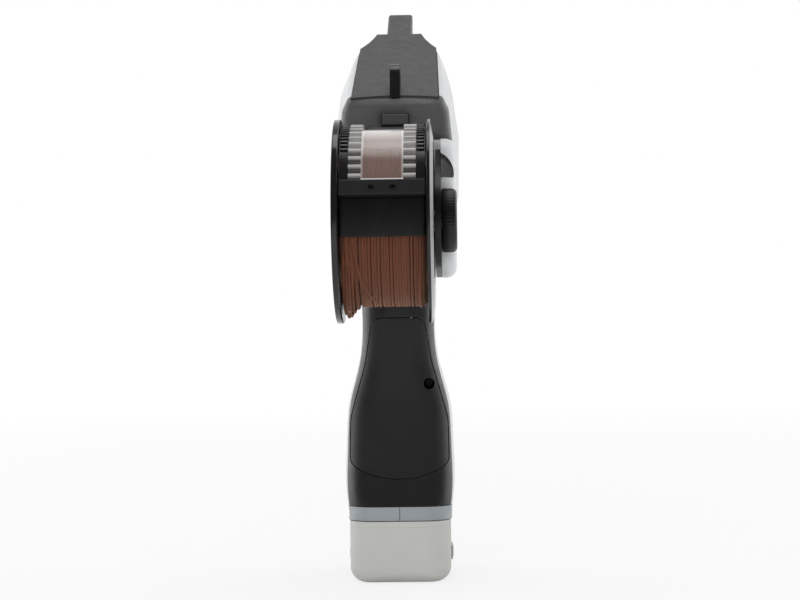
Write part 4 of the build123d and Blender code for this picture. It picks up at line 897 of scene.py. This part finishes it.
paint = add(tree, "BsdfDiffuse", {"Color": linear("#F3F3F3")})
glow = add(tree, "Emission", {"Strength": 1.0})
mixed = add(tree, "MixShader", {0: share, 1: paint, 2: glow})
add(tree, "OutputMaterial", {"Surface": mixed})
floor.data.materials.append(material)
floor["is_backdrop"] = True

# White sweep ahead of the tool; in reflections the ceiling and the room behind the camera are dimmer
world = bpy.data.worlds.new("studio")
bpy.context.scene.world = world
world.use_nodes = True
tree = world.node_tree
tree.nodes.clear()
rays = add(tree, "LightPath")
way = add(tree, "SeparateXYZ", {"Vector": add(tree, "TexCoord").outputs["Generated"]}).outputs
steep = add(tree, "Math", {0: way["Z"]}, operation="ABSOLUTE")
height = add(tree, "Math", {0: steep, 1: -0.6, 2: way["Y"]}, operation="MULTIPLY_ADD")
sweep = add(tree, "MapRange", {"Value": height, "From Min": -0.4, "From Max": 0.7, "To Min": 0.14})
room = add(tree, "MapRange", {"Value": rays.outputs["Is Glossy Ray"], "To Min": 0.5, "To Max": sweep})
level = add(tree, "Math", {0: rays.outputs["Is Camera Ray"], 1: room}, operation="MAXIMUM")
backdrop = add(tree, "Background", {"Strength": level, "Color": linear("#FFFFFF")})
add(tree, "OutputWorld", {"Surface": backdrop})


def lamp(name, place, target, size, power, mirrored=False):
    """Square soft lamp that faces a target; one that is mirrored shows in gloss."""
    data = bpy.data.lights.new(name, "AREA")
    data.size = size
    data.energy = power
    made = bpy.data.objects.new(name, data)
    made.location = place
    made.rotation_euler = (Vector(target) - Vector(place)).to_track_quat("-Z", "Y").to_euler()
    made.visible_glossy = mirrored
    made.visible_camera = False
    bpy.context.scene.collection.objects.link(made)


# Soft boxes over and beside the tool, a fill above the camera, and a low card that lights the reel
middle = (0.0, 0.0, 0.16)
lamp("top_soft_box", (0.1, 0.1, 1.3), middle, 0.6, 3.0, mirrored=True)
lamp("left_soft_box", (-1.2, 0.5, 0.5), middle, 1.2, 7.0, mirrored=True)
lamp("right_soft_box", (1.2, 0.5, 0.5), middle, 1.2, 5.6, mirrored=True)
lamp("camera_fill", (-0.3, -1.3, 0.6), middle, 1.0, 4.6)
lamp("floor_card", (0.0, -0.6, 0.02), (0.0, REEL_Y, REEL_Z), 0.5, 1.3)

# Camera behind the tool, a little to its right, and slightly rolled
CAMERA_YAW = math.radians(1.6)
CAMERA_ROLL = math.radians(-0.75)
CAMERA_DISTANCE = 1.1
CAMERA_HEIGHT = 148.0 * MM
AIM_X = 0.6 * MM
camera_data = bpy.data.cameras.new("photo_camera")
camera_data.sensor_width = 36.0
camera_data.lens = 91.7
camera_data.clip_start = 0.05
camera = bpy.data.objects.new("photo_camera", camera_data)
bpy.context.scene.collection.objects.link(camera)
camera.location = (
    CAMERA_DISTANCE * math.sin(CAMERA_YAW),
    -CAMERA_DISTANCE * math.cos(CAMERA_YAW),
    CAMERA_HEIGHT,
)
aim = Vector((AIM_X, 0.0, CAMERA_HEIGHT)) - camera.location
roll = Quaternion((0.0, 0.0, 1.0), CAMERA_ROLL)
camera.rotation_euler = (aim.to_track_quat("-Z", "Y") @ roll).to_euler()
bpy.context.scene.camera = camera
bpy.context.scene.view_settings.view_transform = "Standard"

low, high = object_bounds()
